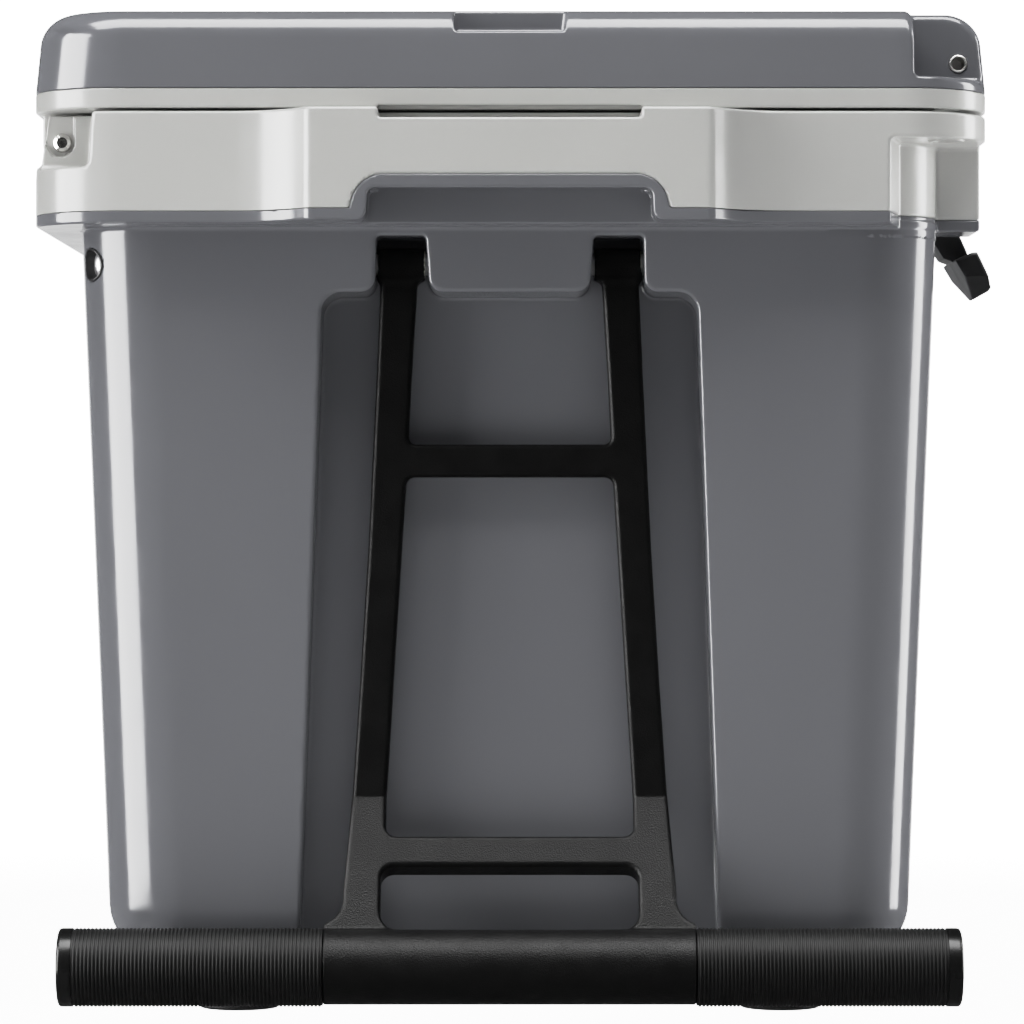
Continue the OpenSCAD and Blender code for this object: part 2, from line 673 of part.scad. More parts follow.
// slanted part, outline in X and distance down the slope
module tow_lower() {
    s = 1 / cos(bend);
    difference() {
        polygon([[-74.9, 1], [-76.2, -(bend_z - 85) * s], [-78.2, -(bend_z - 60) * s], [-78.7, -(bend_z - 56) * s], [-80.2, -(bend_z - 52.5) * s], [-82.4, -(bend_z - 49.5) * s], [-85.2, -(bend_z - 46.5) * s], [-85.2, -(bend_z - 40) * s],
            [85.2, -(bend_z - 40) * s], [85.2, -(bend_z - 46.5) * s], [82.4, -(bend_z - 49.5) * s], [80.2, -(bend_z - 52.5) * s], [78.7, -(bend_z - 56) * s], [78.2, -(bend_z - 60) * s], [76.2, -(bend_z - 85) * s], [74.9, 1]]);
        polygon([[-58.8, 1], [-58.9, -(bend_z - 89.5) * s], [-55, -(bend_z - 83.7) * s], [55, -(bend_z - 83.7) * s], [58.9, -(bend_z - 89.5) * s], [58.8, 1]]);
        polygon([[-60.6, -(bend_z - 64) * s], [-55, -(bend_z - 69.9) * s], [55, -(bend_z - 69.9) * s], [60.6, -(bend_z - 64) * s], [60.6, -(bend_z - 52) * s], [53, -(bend_z - 45.5) * s], [53, -(bend_z - 30) * s],
            [-53, -(bend_z - 30) * s], [-53, -(bend_z - 45.5) * s], [-60.6, -(bend_z - 52) * s]]);
    }
}

module tow_frame() {
    color(black) place() difference() {
        union() {
            intersection() {
                slab_y(tow_y - tow_t / 2, tow_y + tow_t / 2) tow_upper();
                // mitre at the bend
                translate([0, tow_y, bend_z]) rotate([bend / 2, 0, 0]) translate([-150, -150, 0]) cube([300, 300, 400]);
            }
            intersection() {
                translate([0, tow_y, bend_z]) rotate([90 - bend, 0, 0]) translate([0, 0, -tow_t / 2]) linear_extrude(tow_t) tow_lower();
                translate([0, tow_y, bend_z]) rotate([bend / 2, 0, 0]) translate([-150, -150, -200]) cube([300, 300, 200]);
            }
            both_sides() union() {
                rod_x(tow_u + 0.4, tow_v - 0.4, tow_y, tow_z, 8);
                box(tow_u + 0.4, tow_v - 0.4, tow_y - tow_t / 2, tow_y + tow_t / 2, 346.5, tow_z);
            }
            rod_x(-87, 87, bar_y, bar_z, bar_d / 2 - 0.4);
        }
        both_sides() rod_x(30, 70, tow_y, tow_z, 6.5);
        rod_x(-90, 90, bar_y, bar_z, 14.03);
    }
}

module tow_bushes() {
    color("ivory") place() both_sides() difference() {
        rod_x(tow_u + 0.5, tow_v - 0.5, tow_y, tow_z, 6.48);
        rod_x(30, 70, tow_y, tow_z, 5.06);
    }
}

module tow_pivot_rod() {
    color("silver") place() difference() {
        union() {
            rod_x(-rod_x0 - 2, 187.5, tow_y, tow_z, 5);
            rod_x(-rod_x0 - 4.6, -rod_x0 - 0.1, tow_y, tow_z, 7);
        }
        translate([-rod_x0 - 6, tow_y, tow_z]) rotate([0, 90, 0]) cylinder(r = 2.9, h = 4, $fn = 6);
    }
}

module tow_rod_nut() {
    color("silver") place() difference() {
        translate([178.5, tow_y, tow_z]) rotate([0, 90, 0]) cylinder(r = 9, h = 7, $fn = 6);
        rod_x(175, 200, tow_y, tow_z, 5.02);
    }
}

module grip_tube() {
    color("dimgray") place() difference() {
        rod_x(-203.5, 203.5, bar_y, bar_z, 14);
        rod_x(-210, 210, bar_y, bar_z, 11.5);
    }
}

module grip_sleeve() {
    difference() {
        union() {
            rod_x(87.2, 203.6, bar_y, bar_z, bar_d / 2 - 0.35);
            for (i = [0:63]) rod_x(88 + 1.8 * i, 88.9 + 1.8 * i, bar_y, bar_z, bar_d / 2);
        }
        rod_x(80, 210, bar_y, bar_z, 14.02);
    }
}
module grip_sleeve_left() { color(black) place() mirror([1, 0, 0]) grip_sleeve(); }
module grip_sleeve_right() { color(black) place() grip_sleeve(); }

module grip_caps() {
    e = bar_l / 2;
    color(black) place() both_sides() translate([0, bar_y, bar_z]) rotate([0, 90, 0]) rotate_extrude()
        polygon([[0, 185], [11.45, 185], [11.45, 203.7], [bar_d / 2, 203.7], [bar_d / 2, e - 1.5], [bar_d / 2 - 1.5, e], [0, e]]);
}

body_shell();
collar();
liner();
body_foam();
foot_left();
foot_right();
foot_screws();
axle();
axle_sleeve();
axle_washers();
axle_caps();
wheel_hub_left();
wheel_hub_right();
tyre_left();
tyre_right();
wheel_bush_left();
wheel_bush_right();
drain_body();
drain_nut();
drain_seal();
drain_cap();
lid_shell();
lid_pan();
lid_foam();
lid_gasket();
hinge_screws();
hinge_bushes();
latch_pins();
latch_near();
latch_far();
tow_frame();
tow_bushes();
tow_pivot_rod();
tow_rod_nut();
grip_tube();
grip_sleeve_left();
grip_sleeve_right();
grip_caps();
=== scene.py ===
# Wheeled hard cooler, seen from its tow-handle end. Every moulded part is a
# rounded solid given as a distance in millimetres and meshed on a graded grid.
import math
import numpy as np
import bmesh
import bpy
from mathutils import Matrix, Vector


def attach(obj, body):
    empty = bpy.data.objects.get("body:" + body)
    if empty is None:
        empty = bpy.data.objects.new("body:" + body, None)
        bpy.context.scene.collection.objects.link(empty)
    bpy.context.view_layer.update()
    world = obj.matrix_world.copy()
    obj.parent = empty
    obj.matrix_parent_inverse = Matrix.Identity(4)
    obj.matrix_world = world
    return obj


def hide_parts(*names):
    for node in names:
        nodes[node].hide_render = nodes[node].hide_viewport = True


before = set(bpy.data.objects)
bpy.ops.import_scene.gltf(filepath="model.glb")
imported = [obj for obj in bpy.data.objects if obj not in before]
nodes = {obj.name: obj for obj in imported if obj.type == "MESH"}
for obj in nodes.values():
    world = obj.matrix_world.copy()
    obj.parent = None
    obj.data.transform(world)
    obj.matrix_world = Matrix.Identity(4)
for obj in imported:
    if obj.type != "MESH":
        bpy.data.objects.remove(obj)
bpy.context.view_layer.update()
scene = bpy.context.scene

CX = -5.1                      # the CAD model's shift along x, mm
T = math.tan(math.radians(2.13))
CD = math.cos(math.radians(2.13))
HL = 345.0
RX0, RX1, MID = -223.7, 225.3, 0.8
GRIP = 22.5


# ---------------------------------------------------------------- distances

def hyp(a, b):
    return np.sqrt(a * a + b * b)


def fi(a, b, r):
    """both, with a rounded edge"""
    return np.minimum(np.maximum(a, b), -r) + hyp(np.maximum(a + r, 0), np.maximum(b + r, 0))


def fu(a, b, r):
    """either, with a filleted joint"""
    return np.maximum(np.minimum(a, b), r) - hyp(np.maximum(r - a, 0), np.maximum(r - b, 0))


def fs(a, b, r):
    """a without b, with a rounded edge"""
    return fi(a, -b, r)


def between(v, lo, hi):
    return np.maximum(lo - v, v - hi)


def rbox(x, y, hx, hy, r):
    """rounded rectangle about the origin"""
    qx, qy = np.abs(x) - (hx - r), np.abs(y) - (hy - r)
    return hyp(np.maximum(qx, 0), np.maximum(qy, 0)) + np.minimum(np.maximum(qx, qy), 0) - r


def poly(u, v, pts):
    """distance to a closed outline, negative inside"""
    u, v = np.broadcast_arrays(u, v)
    d = np.full(u.shape, 1e9)
    s = np.ones(u.shape)
    n = len(pts)
    for i in range(n):
        ax, ay = pts[i]
        bx, by = pts[i - 1]
        ex, ey = bx - ax, by - ay
        wx, wy = u - ax, v - ay
        t = np.clip((wx * ex + wy * ey) / (ex * ex + ey * ey), 0, 1)
        qx, qy = wx - ex * t, wy - ey * t
        d = np.minimum(d, qx * qx + qy * qy)
        c1, c2, c3 = v >= ay, v < by, ex * wy > ey * wx
        s = np.where((c1 & c2 & c3) | (~c1 & ~c2 & ~c3), -s, s)
    return s * np.sqrt(d)


def swell(ax):
    """how far the rim stands out at a lift grip, and the slope's cosine"""
    u = np.clip((128.0 - ax) / 37.0, 0, 1)
    low = u < 0.88
    s = np.where(low, u * u / 0.88, 1 - 8.333 * (1 - u) ** 2)
    k = np.where(low, 2 * u / 0.88, 16.667 * (1 - u)) * GRIP / 37.0
    return GRIP * s, 1 / np.sqrt(1 + k * k)


def rim(x, y, t):
    ax, ay = np.abs(x), np.abs(y)
    r = 42.0 - t
    a = rbox(x - MID, y, 224.5 - t, HL - t, r)
    s, c = swell(ax)
    b = np.maximum((ay - (HL - t) - s) * c, (ax - 128.0))
    return np.minimum(a, b)


def half_w(z):
    return 204.5 - (379.8 - z) * T


def half_l(z):
    return 315.0 - (379.8 - z) * T


def tub_side(x, y, z, t):
    r = max(38.0 - t, 3.0)
    return rbox(x, y, half_w(z) - t, half_l(z) - t, r) * CD


def tub(x, y, z, t):
    return fi(tub_side(x, y, z, t), 24.0 + t - z, 27.0 - t)


def recess2(x, z, g=0.0, top=343.3):
    """front outline of the tow handle's recess"""
    ax = np.abs(x)
    side = (ax - 99.6 - g) * 0.99933 + (z - 44) * 0.0365
    main = fi(side, z - top - g, 9.5)
    slot = fi(np.maximum(ax - 63.1 - (370 - z) * 0.02, 39.7 - (370 - z) * 0.07 - ax) - g, z - 370.3 - g, 2.2)
    return fu(main, slot, 6.5)


def recess(x, y, z, g=0.0):
    return fi(recess2(x, z, g, 344.0 - 0.061 * (y + 314)), y + 283 - g, 1.6)


def well(x, y, z, g=0.0):
    disc = hyp(y - 262, z - 75) - 82 - g
    low = np.maximum(180 - g - y, z - 75)
    back = np.maximum(262 - y, z - 157 - g)
    return fi(np.minimum(np.minimum(disc, low), back), 148 - g - np.abs(x), 4.0)


def dish(x, y, z, g=0.0):
    return fi(hyp(y + 190, z - 88.5) - 30 - g, x + 179.7 - g, 3.5)


def edge2(x, z, g=0.0):
    """outline of the dark arch over a lift grip"""
    side = (np.abs(x) - 72.1 - (387.3 - z) * 0.23) * 0.975
    return fi(side, z - 395.6, 11.5) - g


def open2(x, z):
    """outline of the finger opening"""
    side = np.abs(x) - 65.9 - (384.0 - z) * 0.05
    return fu(fi(side, z - 389.3, 3.6), z - 374.2, 4.7)


def column(x, y):
    return rbox(x, y, 204.5, 315.0, 38.0)


def lock_void(x, y):
    """corner left open under the padlock flange"""
    ay = np.abs(y)
    end = (177.3 + np.clip((345 - ay) / 30, 0, 1) * 6.3 - x) * 0.98
    return fi(fi(end, 280 - ay, 1.5), -column(x, y), 1.5)


def bay(x, y, g=0.0):
    return fi(206.2 - g - x, np.abs(np.abs(y) - 203) - 34.1 - g, 2.0)


# ---------------------------------------------------------------- mesher

COARSE = 1.0


def lines(lo, hi, base, *fine, grow=0.42):
    """grid lines from lo to hi, base apart, closer together in the fine spans"""
    def step(t):
        s = base
        for a, b, f in fine:
            d = max(a - t, t - b, 0)
            s = min(s, f + grow * d)
        return s * COARSE
    out, t = [lo], lo
    while t < hi:
        s = step(t)
        t += min(s, step(t + s))
        out.append(t)
    return np.array(out)


def sym(*fine):
    return [f for a, b, s in fine for f in ((a, b, s), (-b, -a, s))]


CORNERS = [(i, j, k) for i in (0, 1) for j in (0, 1) for k in (0, 1)]
EDGES = [(a, b) for a in range(8) for b in range(a + 1, 8)
         if sum(p != q for p, q in zip(CORNERS[a], CORNERS[b])) == 1]


TETRA = np.array([(1, 1, 1), (1, -1, -1), (-1, 1, -1), (-1, -1, 1)], float)


def at(f, p, chunk=16384):
    return np.concatenate([f(q[:, 0], q[:, 1], q[:, 2]) for q in (p[i:i + chunk] for i in range(0, len(p), chunk))])


def gradient(f, p, h=0.05):
    return sum(at(f, p + h * e)[:, None] * e for e in TETRA) / (4 * h)


def net(f, gx, gy, gz, slack=1.4):
    """vertices, quads and normals of the surface where f is 0"""
    n = (len(gx), len(gy), len(gz))
    B = 12
    cuts = [[(a, min(a + B, m - 1)) for a in range(0, m - 1, B)] for m in n]
    mids = [np.array([(g[a] + g[b]) / 2 for a, b in c]) for g, c in zip((gx, gy, gz), cuts)]
    halves = [np.array([(g[b] - g[a]) / 2 for a, b in c]) for g, c in zip((gx, gy, gz), cuts)]
    dc = f(mids[0][:, None, None], mids[1][None, :, None], mids[2][None, None, :])
    dc = np.broadcast_to(dc, tuple(len(c) for c in cuts))
    reach = np.sqrt(halves[0][:, None, None] ** 2 + halves[1][None, :, None] ** 2 + halves[2][None, None, :] ** 2)
    active = np.abs(dc) < reach * slack
    D = np.empty(n, np.float32)
    hx, hy, hz = (np.asarray(g, np.float32) for g in (gx, gy, gz))
    for (ia, (a, b)) in enumerate(cuts[0]):
        for (ja, (c, d)) in enumerate(cuts[1]):
            for (ka, (e, g)) in enumerate(cuts[2]):
                if not active[ia, ja, ka]:
                    D[a:b + 1, c:d + 1, e:g + 1] = 1e3 if dc[ia, ja, ka] > 0 else -1e3
    for (ia, (a, b)) in enumerate(cuts[0]):
        for (ja, (c, d)) in enumerate(cuts[1]):
            for (ka, (e, g)) in enumerate(cuts[2]):
                if active[ia, ja, ka]:
                    D[a:b + 1, c:d + 1, e:g + 1] = f(hx[a:b + 1][:, None, None], hy[c:d + 1][None, :, None], hz[e:g + 1][None, None, :])
    S = D < 0
    c = np.zeros(tuple(m - 1 for m in n), np.uint8)
    for i, j, k in CORNERS:
        c += S[i:n[0] - 1 + i, j:n[1] - 1 + j, k:n[2] - 1 + k]
    I, J, K = np.nonzero((c > 0) & (c < 8))
    vals = [D[I + i, J + j, K + k].astype(float) for i, j, k in CORNERS]
    pos = [np.stack([gx[I + i], gy[J + j], gz[K + k]], 1) for i, j, k in CORNERS]
    p = np.zeros((len(I), 3))
    m = np.zeros(len(I))
    for a, b in EDGES:
        va, vb = vals[a], vals[b]
        hit = (va < 0) != (vb < 0)
        t = np.where(hit, va / np.where(hit, va - vb, 1), 0)
        p += np.where(hit[:, None], pos[a] + t[:, None] * (pos[b] - pos[a]), 0)
        m += hit
    p /= m[:, None]
    g = gradient(f, p)
    g /= np.maximum((g * g).sum(1), 0.2)[:, None]
    for _ in range(2):
        p = np.clip(p - g * at(f, p)[:, None], pos[0], pos[7])
    g = gradient(f, p)
    nrm = g / np.maximum(np.linalg.norm(g, axis=1), 1e-9)[:, None]
    ids = np.full(c.shape, -1, np.int32)
    ids[I, J, K] = np.arange(len(I), dtype=np.int32)
    quads = []
    a, b = S[:-1, 1:-1, 1:-1], S[1:, 1:-1, 1:-1]
    i, j, k = np.nonzero(a != b)
    j += 1
    k += 1
    flip = ~S[i, j, k]
    q = np.stack([ids[i, j - 1, k - 1], ids[i, j, k - 1], ids[i, j, k], ids[i, j - 1, k]], 1)
    q[flip] = q[flip][:, ::-1]
    quads.append(q)
    a, b = S[1:-1, :-1, 1:-1], S[1:-1, 1:, 1:-1]
    i, j, k = np.nonzero(a != b)
    i += 1
    k += 1
    flip = ~S[i, j, k]
    q = np.stack([ids[i - 1, j, k - 1], ids[i - 1, j, k], ids[i, j, k], ids[i, j, k - 1]], 1)
    q[flip] = q[flip][:, ::-1]
    quads.append(q)
    a, b = S[1:-1, 1:-1, :-1], S[1:-1, 1:-1, 1:]
    i, j, k = np.nonzero(a != b)
    i += 1
    j += 1
    flip = ~S[i, j, k]
    q = np.stack([ids[i - 1, j - 1, k], ids[i, j - 1, k], ids[i, j, k], ids[i - 1, j, k]], 1)
    q[flip] = q[flip][:, ::-1]
    quads.append(q)
    quads = np.concatenate(quads)
    assert quads.min() >= 0
    return p, quads, nrm


def make_mesh(name, p, quads, nrm=None):
    me = bpy.data.meshes.new(name)
    v = (np.asarray(p) + [CX, 0, 0]) / 1000.0
    me.vertices.add(len(v))
    me.vertices.foreach_set("co", v.astype(np.float32).ravel())
    q = np.asarray(quads, np.int32)
    me.loops.add(q.size)
    me.loops.foreach_set("vertex_index", q.ravel())
    me.polygons.add(len(q))
    me.polygons.foreach_set("loop_start", np.arange(0, q.size, q.shape[1], dtype=np.int32))
    me.polygons.foreach_set("loop_total", np.full(len(q), q.shape[1], np.int32))
    me.polygons.foreach_set("use_smooth", np.ones(len(q), bool))
    me.update(calc_edges=True)
    me.validate()
    if nrm is not None:
        me.normals_split_custom_set_from_vertices(nrm.astype(np.float32))
    ob = bpy.data.objects.new(name, me)
    scene.collection.objects.link(ob)
    return ob


def solid(name, f, gx, gy, gz, body, material, replaces=(), slack=1.4):
    p, q, n = net(f, gx, gy, gz, slack)
    if body in ("cooler", "lid"):
        # the tub stands a little further out on the hinge side
        p[:, 0] -= 0.85 * np.clip((-p[:, 0] - 112) / 50, 0, 1)
    ob = make_mesh(name, p, q, n)
    ob.data.materials.append(material)
    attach(ob, body)
    if replaces:
        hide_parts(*replaces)
    print("mesh %-18s grid %4d %4d %4d  verts %7d" % (name, len(gx), len(gy), len(gz), len(p)))
    return ob


# ---------------------------------------------------------------- materials

def shader(name):
    m = bpy.data.materials.new(name)
    m.use_nodes = True
    nt = m.node_tree
    b = nt.nodes["Principled BSDF"]
    tc = nt.nodes.new("ShaderNodeTexCoord")
    return m, nt, b, tc.outputs["Object"]


def noise(nt, vec, scale, detail=3.0, rough=0.55, stretch=None):
    if stretch:
        mp = nt.nodes.new("ShaderNodeMapping")
        mp.inputs["Scale"].default_value = stretch
        nt.links.new(vec, mp.inputs["Vector"])
        vec = mp.outputs["Vector"]
    n = nt.nodes.new("ShaderNodeTexNoise")
    n.inputs["Scale"].default_value = scale
    n.inputs["Detail"].default_value = detail
    n.inputs["Roughness"].default_value = rough
    nt.links.new(vec, n.inputs["Vector"])
    return n.outputs["Fac"]


def ramp(nt, fac, stops):
    r = nt.nodes.new("ShaderNodeValToRGB")
    e = r.color_ramp.elements
    while len(e) < len(stops):
        e.new(0.5)
    for el, (p, c) in zip(e, stops):
        el.position = p
        el.color = (*c, 1) if len(c) == 3 else c
    nt.links.new(fac, r.inputs["Fac"])
    return r.outputs["Color"]


def span(nt, fac, a, b, c, d):
    m = nt.nodes.new("ShaderNodeMapRange")
    for i, v in zip(("From Min", "From Max", "To Min", "To Max"), (a, b, c, d)):
        m.inputs[i].default_value = v
    nt.links.new(fac, m.inputs["Value"])
    return m.outputs["Result"]


def add_bump(nt, b, height, dist, strength=1.0, after=None):
    k = nt.nodes.new("ShaderNodeBump")
    k.inputs["Distance"].default_value = dist
    k.inputs["Strength"].default_value = strength
    nt.links.new(height, k.inputs["Height"])
    if after is not None:
        nt.links.new(after, k.inputs["Normal"])
    nt.links.new(k.outputs["Normal"], b.inputs["Normal"])
    return k.outputs["Normal"]


def tint(c, f):
    return tuple(min(1, v * f) for v in c)


def plastic(name, col, rough=(0.2, 0.3), vary=0.03, peel=(420, 0.00003), grain=None, ior=1.5, patch=9.0, shine=0.5):
    """moulded plastic: faint flow marks in the colour, a slight orange peel, sometimes a fine grain"""
    m, nt, b, co = shader(name)
    n = noise(nt, co, patch, 3.0, stretch=(1.0, 1.0, 0.45))
    nt.links.new(ramp(nt, n, [(0.3, tint(col, 1 - vary)), (0.7, tint(col, 1 + vary))]), b.inputs["Base Color"])
    nt.links.new(span(nt, noise(nt, co, 60, 4.0), 0.3, 0.7, *rough), b.inputs["Roughness"])
    b.inputs["IOR"].default_value = ior
    b.inputs["Specular IOR Level"].default_value = shine
    out = add_bump(nt, b, noise(nt, co, peel[0], 2.0), peel[1])
    if grain:
        add_bump(nt, b, noise(nt, co, grain[0], 2.0), grain[1], after=out)
    return m


def powder(name, col, rough, scale, dist, vary=0.12, shine=0.5):
    """fine-textured coating"""
    m, nt, b, co = shader(name)
    n = noise(nt, co, scale * 0.5, 3.0)
    nt.links.new(ramp(nt, n, [(0.25, tint(col, 1 - vary)), (0.75, tint(col, 1 + vary))]), b.inputs["Base Color"])
    nt.links.new(span(nt, noise(nt, co, 90, 3.0), 0.3, 0.7, rough[0], rough[1]), b.inputs["Roughness"])
    b.inputs["IOR"].default_value = 1.5
    b.inputs["Specular IOR Level"].default_value = shine
    v = nt.nodes.new("ShaderNodeTexVoronoi")
    v.inputs["Scale"].default_value = scale
    nt.links.new(co, v.inputs["Vector"])
    out = add_bump(nt, b, v.outputs["Distance"], dist)
    add_bump(nt, b, noise(nt, co, scale * 1.7, 2.0), dist * 0.6, after=out)
    return m


def metal(name, col, rough, along=(1, 1, 1), scale=900, dist=0.000008, patch=0.08):
    m, nt, b, co = shader(name)
    n = noise(nt, co, 55, 4.0)
    nt.links.new(ramp(nt, n, [(0.3, tint(col, 1 - patch)), (0.7, tint(col, 1 + patch))]), b.inputs["Base Color"])
    nt.links.new(span(nt, noise(nt, co, 240, 3.0), 0.25, 0.75, rough[0], rough[1]), b.inputs["Roughness"])
    b.inputs["Metallic"].default_value = 1.0
    add_bump(nt, b, noise(nt, co, scale, 2.0, stretch=along), dist)
    return m


def foamy(name, col):
    m, nt, b, co = shader(name)
    v = nt.nodes.new("ShaderNodeTexVoronoi")
    v.inputs["Scale"].default_value = 700
    nt.links.new(co, v.inputs["Vector"])
    nt.links.new(ramp(nt, v.outputs["Distance"], [(0.1, tint(col, 0.8)), (0.6, col)]), b.inputs["Base Color"])
    nt.links.new(span(nt, noise(nt, co, 120), 0.3, 0.7, 0.8, 0.95), b.inputs["Roughness"])
    add_bump(nt, b, v.outputs["Distance"], 0.0004)
    return m


GREY = (0.183, 0.187, 0.203)
PALE = (0.630, 0.630, 0.615)
M = {
    "shell": plastic("shell plastic", GREY, (0.12, 0.18), peel=(380, 0.000016)),
    "collar": plastic("collar plastic", PALE, (0.18, 0.25), vary=0.008, peel=(380, 0.000016)),
    "liner": plastic("liner plastic", (0.62, 0.62, 0.60), (0.34, 0.44), vary=0.02),
    "foam": foamy("foam", (0.80, 0.70, 0.42)),
    "foot": plastic("foot rubber", (0.018, 0.018, 0.019), (0.5, 0.65), vary=0.15, grain=(1600, 0.00005)),
    "zinc": metal("zinc steel", (0.62, 0.62, 0.63), (0.28, 0.42)),
    "steel": metal("stainless steel", (0.66, 0.65, 0.63), (0.16, 0.27)),
    "sleeve": plastic("conduit plastic", (0.05, 0.05, 0.052), (0.35, 0.5), vary=0.08),
    "hub": plastic("hub plastic", (0.036, 0.037, 0.040), (0.34, 0.46), vary=0.08, grain=(1300, 0.00004)),
    "tyre": plastic("tyre rubber", (0.017, 0.017, 0.018), (0.55, 0.7), vary=0.2, grain=(1100, 0.00008)),
    "nylon": plastic("nylon", (0.72, 0.70, 0.62), (0.35, 0.5), vary=0.03),
    "drain": plastic("drain plastic", (0.020, 0.020, 0.021), (0.3, 0.42), vary=0.1, grain=(1500, 0.00003)),
    "seal": plastic("seal rubber", (0.035, 0.035, 0.037), (0.55, 0.7), vary=0.1, grain=(1400, 0.00004)),
    "latch": plastic("latch rubber", (0.016, 0.016, 0.017), (0.33, 0.45), vary=0.12, grain=(1500, 0.00003), shine=0.35),
    "pin": metal("pin steel", (0.72, 0.71, 0.69), (0.36, 0.46)),
    "frame": powder("powder coat", (0.0042, 0.0042, 0.0042), (0.34, 0.46), 1500, 0.00011, shine=0.16),
    "tube": powder("tube coat", (0.0045, 0.0045, 0.0046), (0.30, 0.40), 2200, 0.00004, shine=0.22),
    "grip": plastic("grip rubber", (0.008, 0.008, 0.008), (0.42, 0.55), vary=0.15, grain=(1700, 0.00004), shine=0.18),
    "cap": plastic("cap plastic", (0.006, 0.006, 0.006), (0.2, 0.3), vary=0.1, shine=0.28),
}
CAD_LOOK = {
    "body_shell": "shell", "collar": "collar", "liner": "liner", "body_foam": "foam",
    "foot_left": "foot", "foot_right": "foot", "foot_screws": "zinc",
    "axle": "zinc", "axle_sleeve": "sleeve", "axle_washers": "zinc", "axle_caps": "zinc",
    "wheel_hub_left": "hub", "wheel_hub_right": "hub", "tyre_left": "tyre", "tyre_right": "tyre",
    "wheel_bush_left": "nylon", "wheel_bush_right": "nylon",
    "drain_body": "drain", "drain_nut": "drain", "drain_seal": "seal", "drain_cap": "drain",
    "lid_shell": "shell", "lid_pan": "collar", "lid_foam": "foam", "lid_gasket": "seal",
    "hinge_screws": "steel", "hinge_bushes": "nylon", "latch_pins": "steel",
    "latch_near": "latch", "latch_far": "latch",
    "tow_frame": "frame", "tow_bushes": "nylon", "tow_pivot_rod": "zinc", "tow_rod_nut": "zinc",
    "grip_tube": "tube", "grip_sleeve_left": "grip", "grip_sleeve_right": "grip", "grip_caps": "cap",
}
for name, look in CAD_LOOK.items():
    me = nodes[name].data
    if not me.materials:
        me.materials.append(M[look])
    for i in range(len(me.materials)):
        me.materials[i] = M[look]


# ---------------------------------------------------------------- tub

# The foam is blown between the mouldings and bonds to them, so tub and foam
# are one solid here, with the liner's pocket in it; collar, lid and lid pan too.

def liner_void(x, y, z, t):
    hx = 150 + t + (z - 72) * (13 / 354.8)
    hy = 261 + t + (z - 72) * (13 / 354.8)
    v = fi(rbox(x, y, hx, hy, 24 + t), 66 - t - z, 12.0 + t)
    step = fi(150 + t - y, z - 188 + t, 12.0)
    return fs(v, step, 9.0 + t)


def f_body(x, y, z):
    ay = np.abs(y)
    r0 = rim(x, y, 0.02)
    out = np.maximum(tub(x, y, z, 0.0), z - 377.0)
    fl = fi(fi(r0, 374.2 - z, 1.5), z - 379.76, 0.2)
    fl = fs(fl, lock_void(x, y), 1.2)
    fl = fs(fl, bay(x, y), 1.2)
    d = fu(out, fl, 2.2)
    # the column left standing in each corner by the latch side
    col = np.maximum(np.maximum(column(x, y), z - 379.76), np.maximum(370 - z, np.maximum(150 - x, 270 - ay)))
    d = np.minimum(d, col)
    # upstand round the finger space
    up = fi(edge2(x, z, 0.12), r0, 0.9)
    up = np.maximum(up, np.maximum(339.0 - ay, 375 - z))
    d = np.minimum(d, up)
    d = np.minimum(d, fi(rbox(x, ay - 350.0, 69, 12.5, 4), between(z, 376, 413), 1.5))
    d = fs(d, np.maximum(liner_void(x, y, z, 3.2), z - 400), 0.8)
    # openings
    d = fs(d, recess(x, y, z), 1.8)
    d = fs(d, well(x, y, z), 2.5)
    d = fs(d, dish(x, y, z), 2.5)
    v = np.maximum(open2(x, z), 341.5 - ay)
    v = np.minimum(v, fi(rbox(x, ay - 351.5, 65, 10.0, 5), between(z, 372, 410), 3.0))
    d = fs(d, v, 1.0)
    d = fs(d, np.maximum(hyp(y + 295, z - 357.5) - 7.9, x + 189.5), 0.9)
    return d


gx = lines(-235.3, 235.9, 14.0, *sym((39, 41.2, 1.1), (61.8, 77, 1.15), (76, 102, 1.2), (144.5, 149, 1.8), (168, 205, 5.0), (206, 226, 2.1)),
           (176, 185, 1.4), (200, 208, 1.1), (-205, -188, 1.1), (-188, -177, 3.0))
gy = lines(-371.3, 371.9, 14.0, *sym((359, 368.5, 1.2), (337, 346, 1.4), (309, 318, 1.4), (277.5, 282.5, 1.1), (283, 309, 2.4), (236, 238.5, 1.3), (168, 170, 1.3)),
           (-306, -281, 1.0), (177, 183, 1.8), (255, 265, 4.0), (-221, -217, 2.2), (-163, -159, 2.2))
gz = lines(21.3, 416.9, 14.0, (23, 30, 1.8), (30, 56, 3.4), (57, 60, 2.2), (117, 120, 2.2), (153, 161, 1.8), (332, 371, 1.1),
           (373, 375.6, 0.42), (375.6, 379.3, 0.8), (379.3, 380.4, 0.4), (381, 397, 1.2), (408, 413.5, 1.7))
body_shell = solid("body_moulding", f_body, gx, gy, gz, "cooler", M["shell"], ["body_shell", "body_foam"])


# ---------------------------------------------------------------- collar

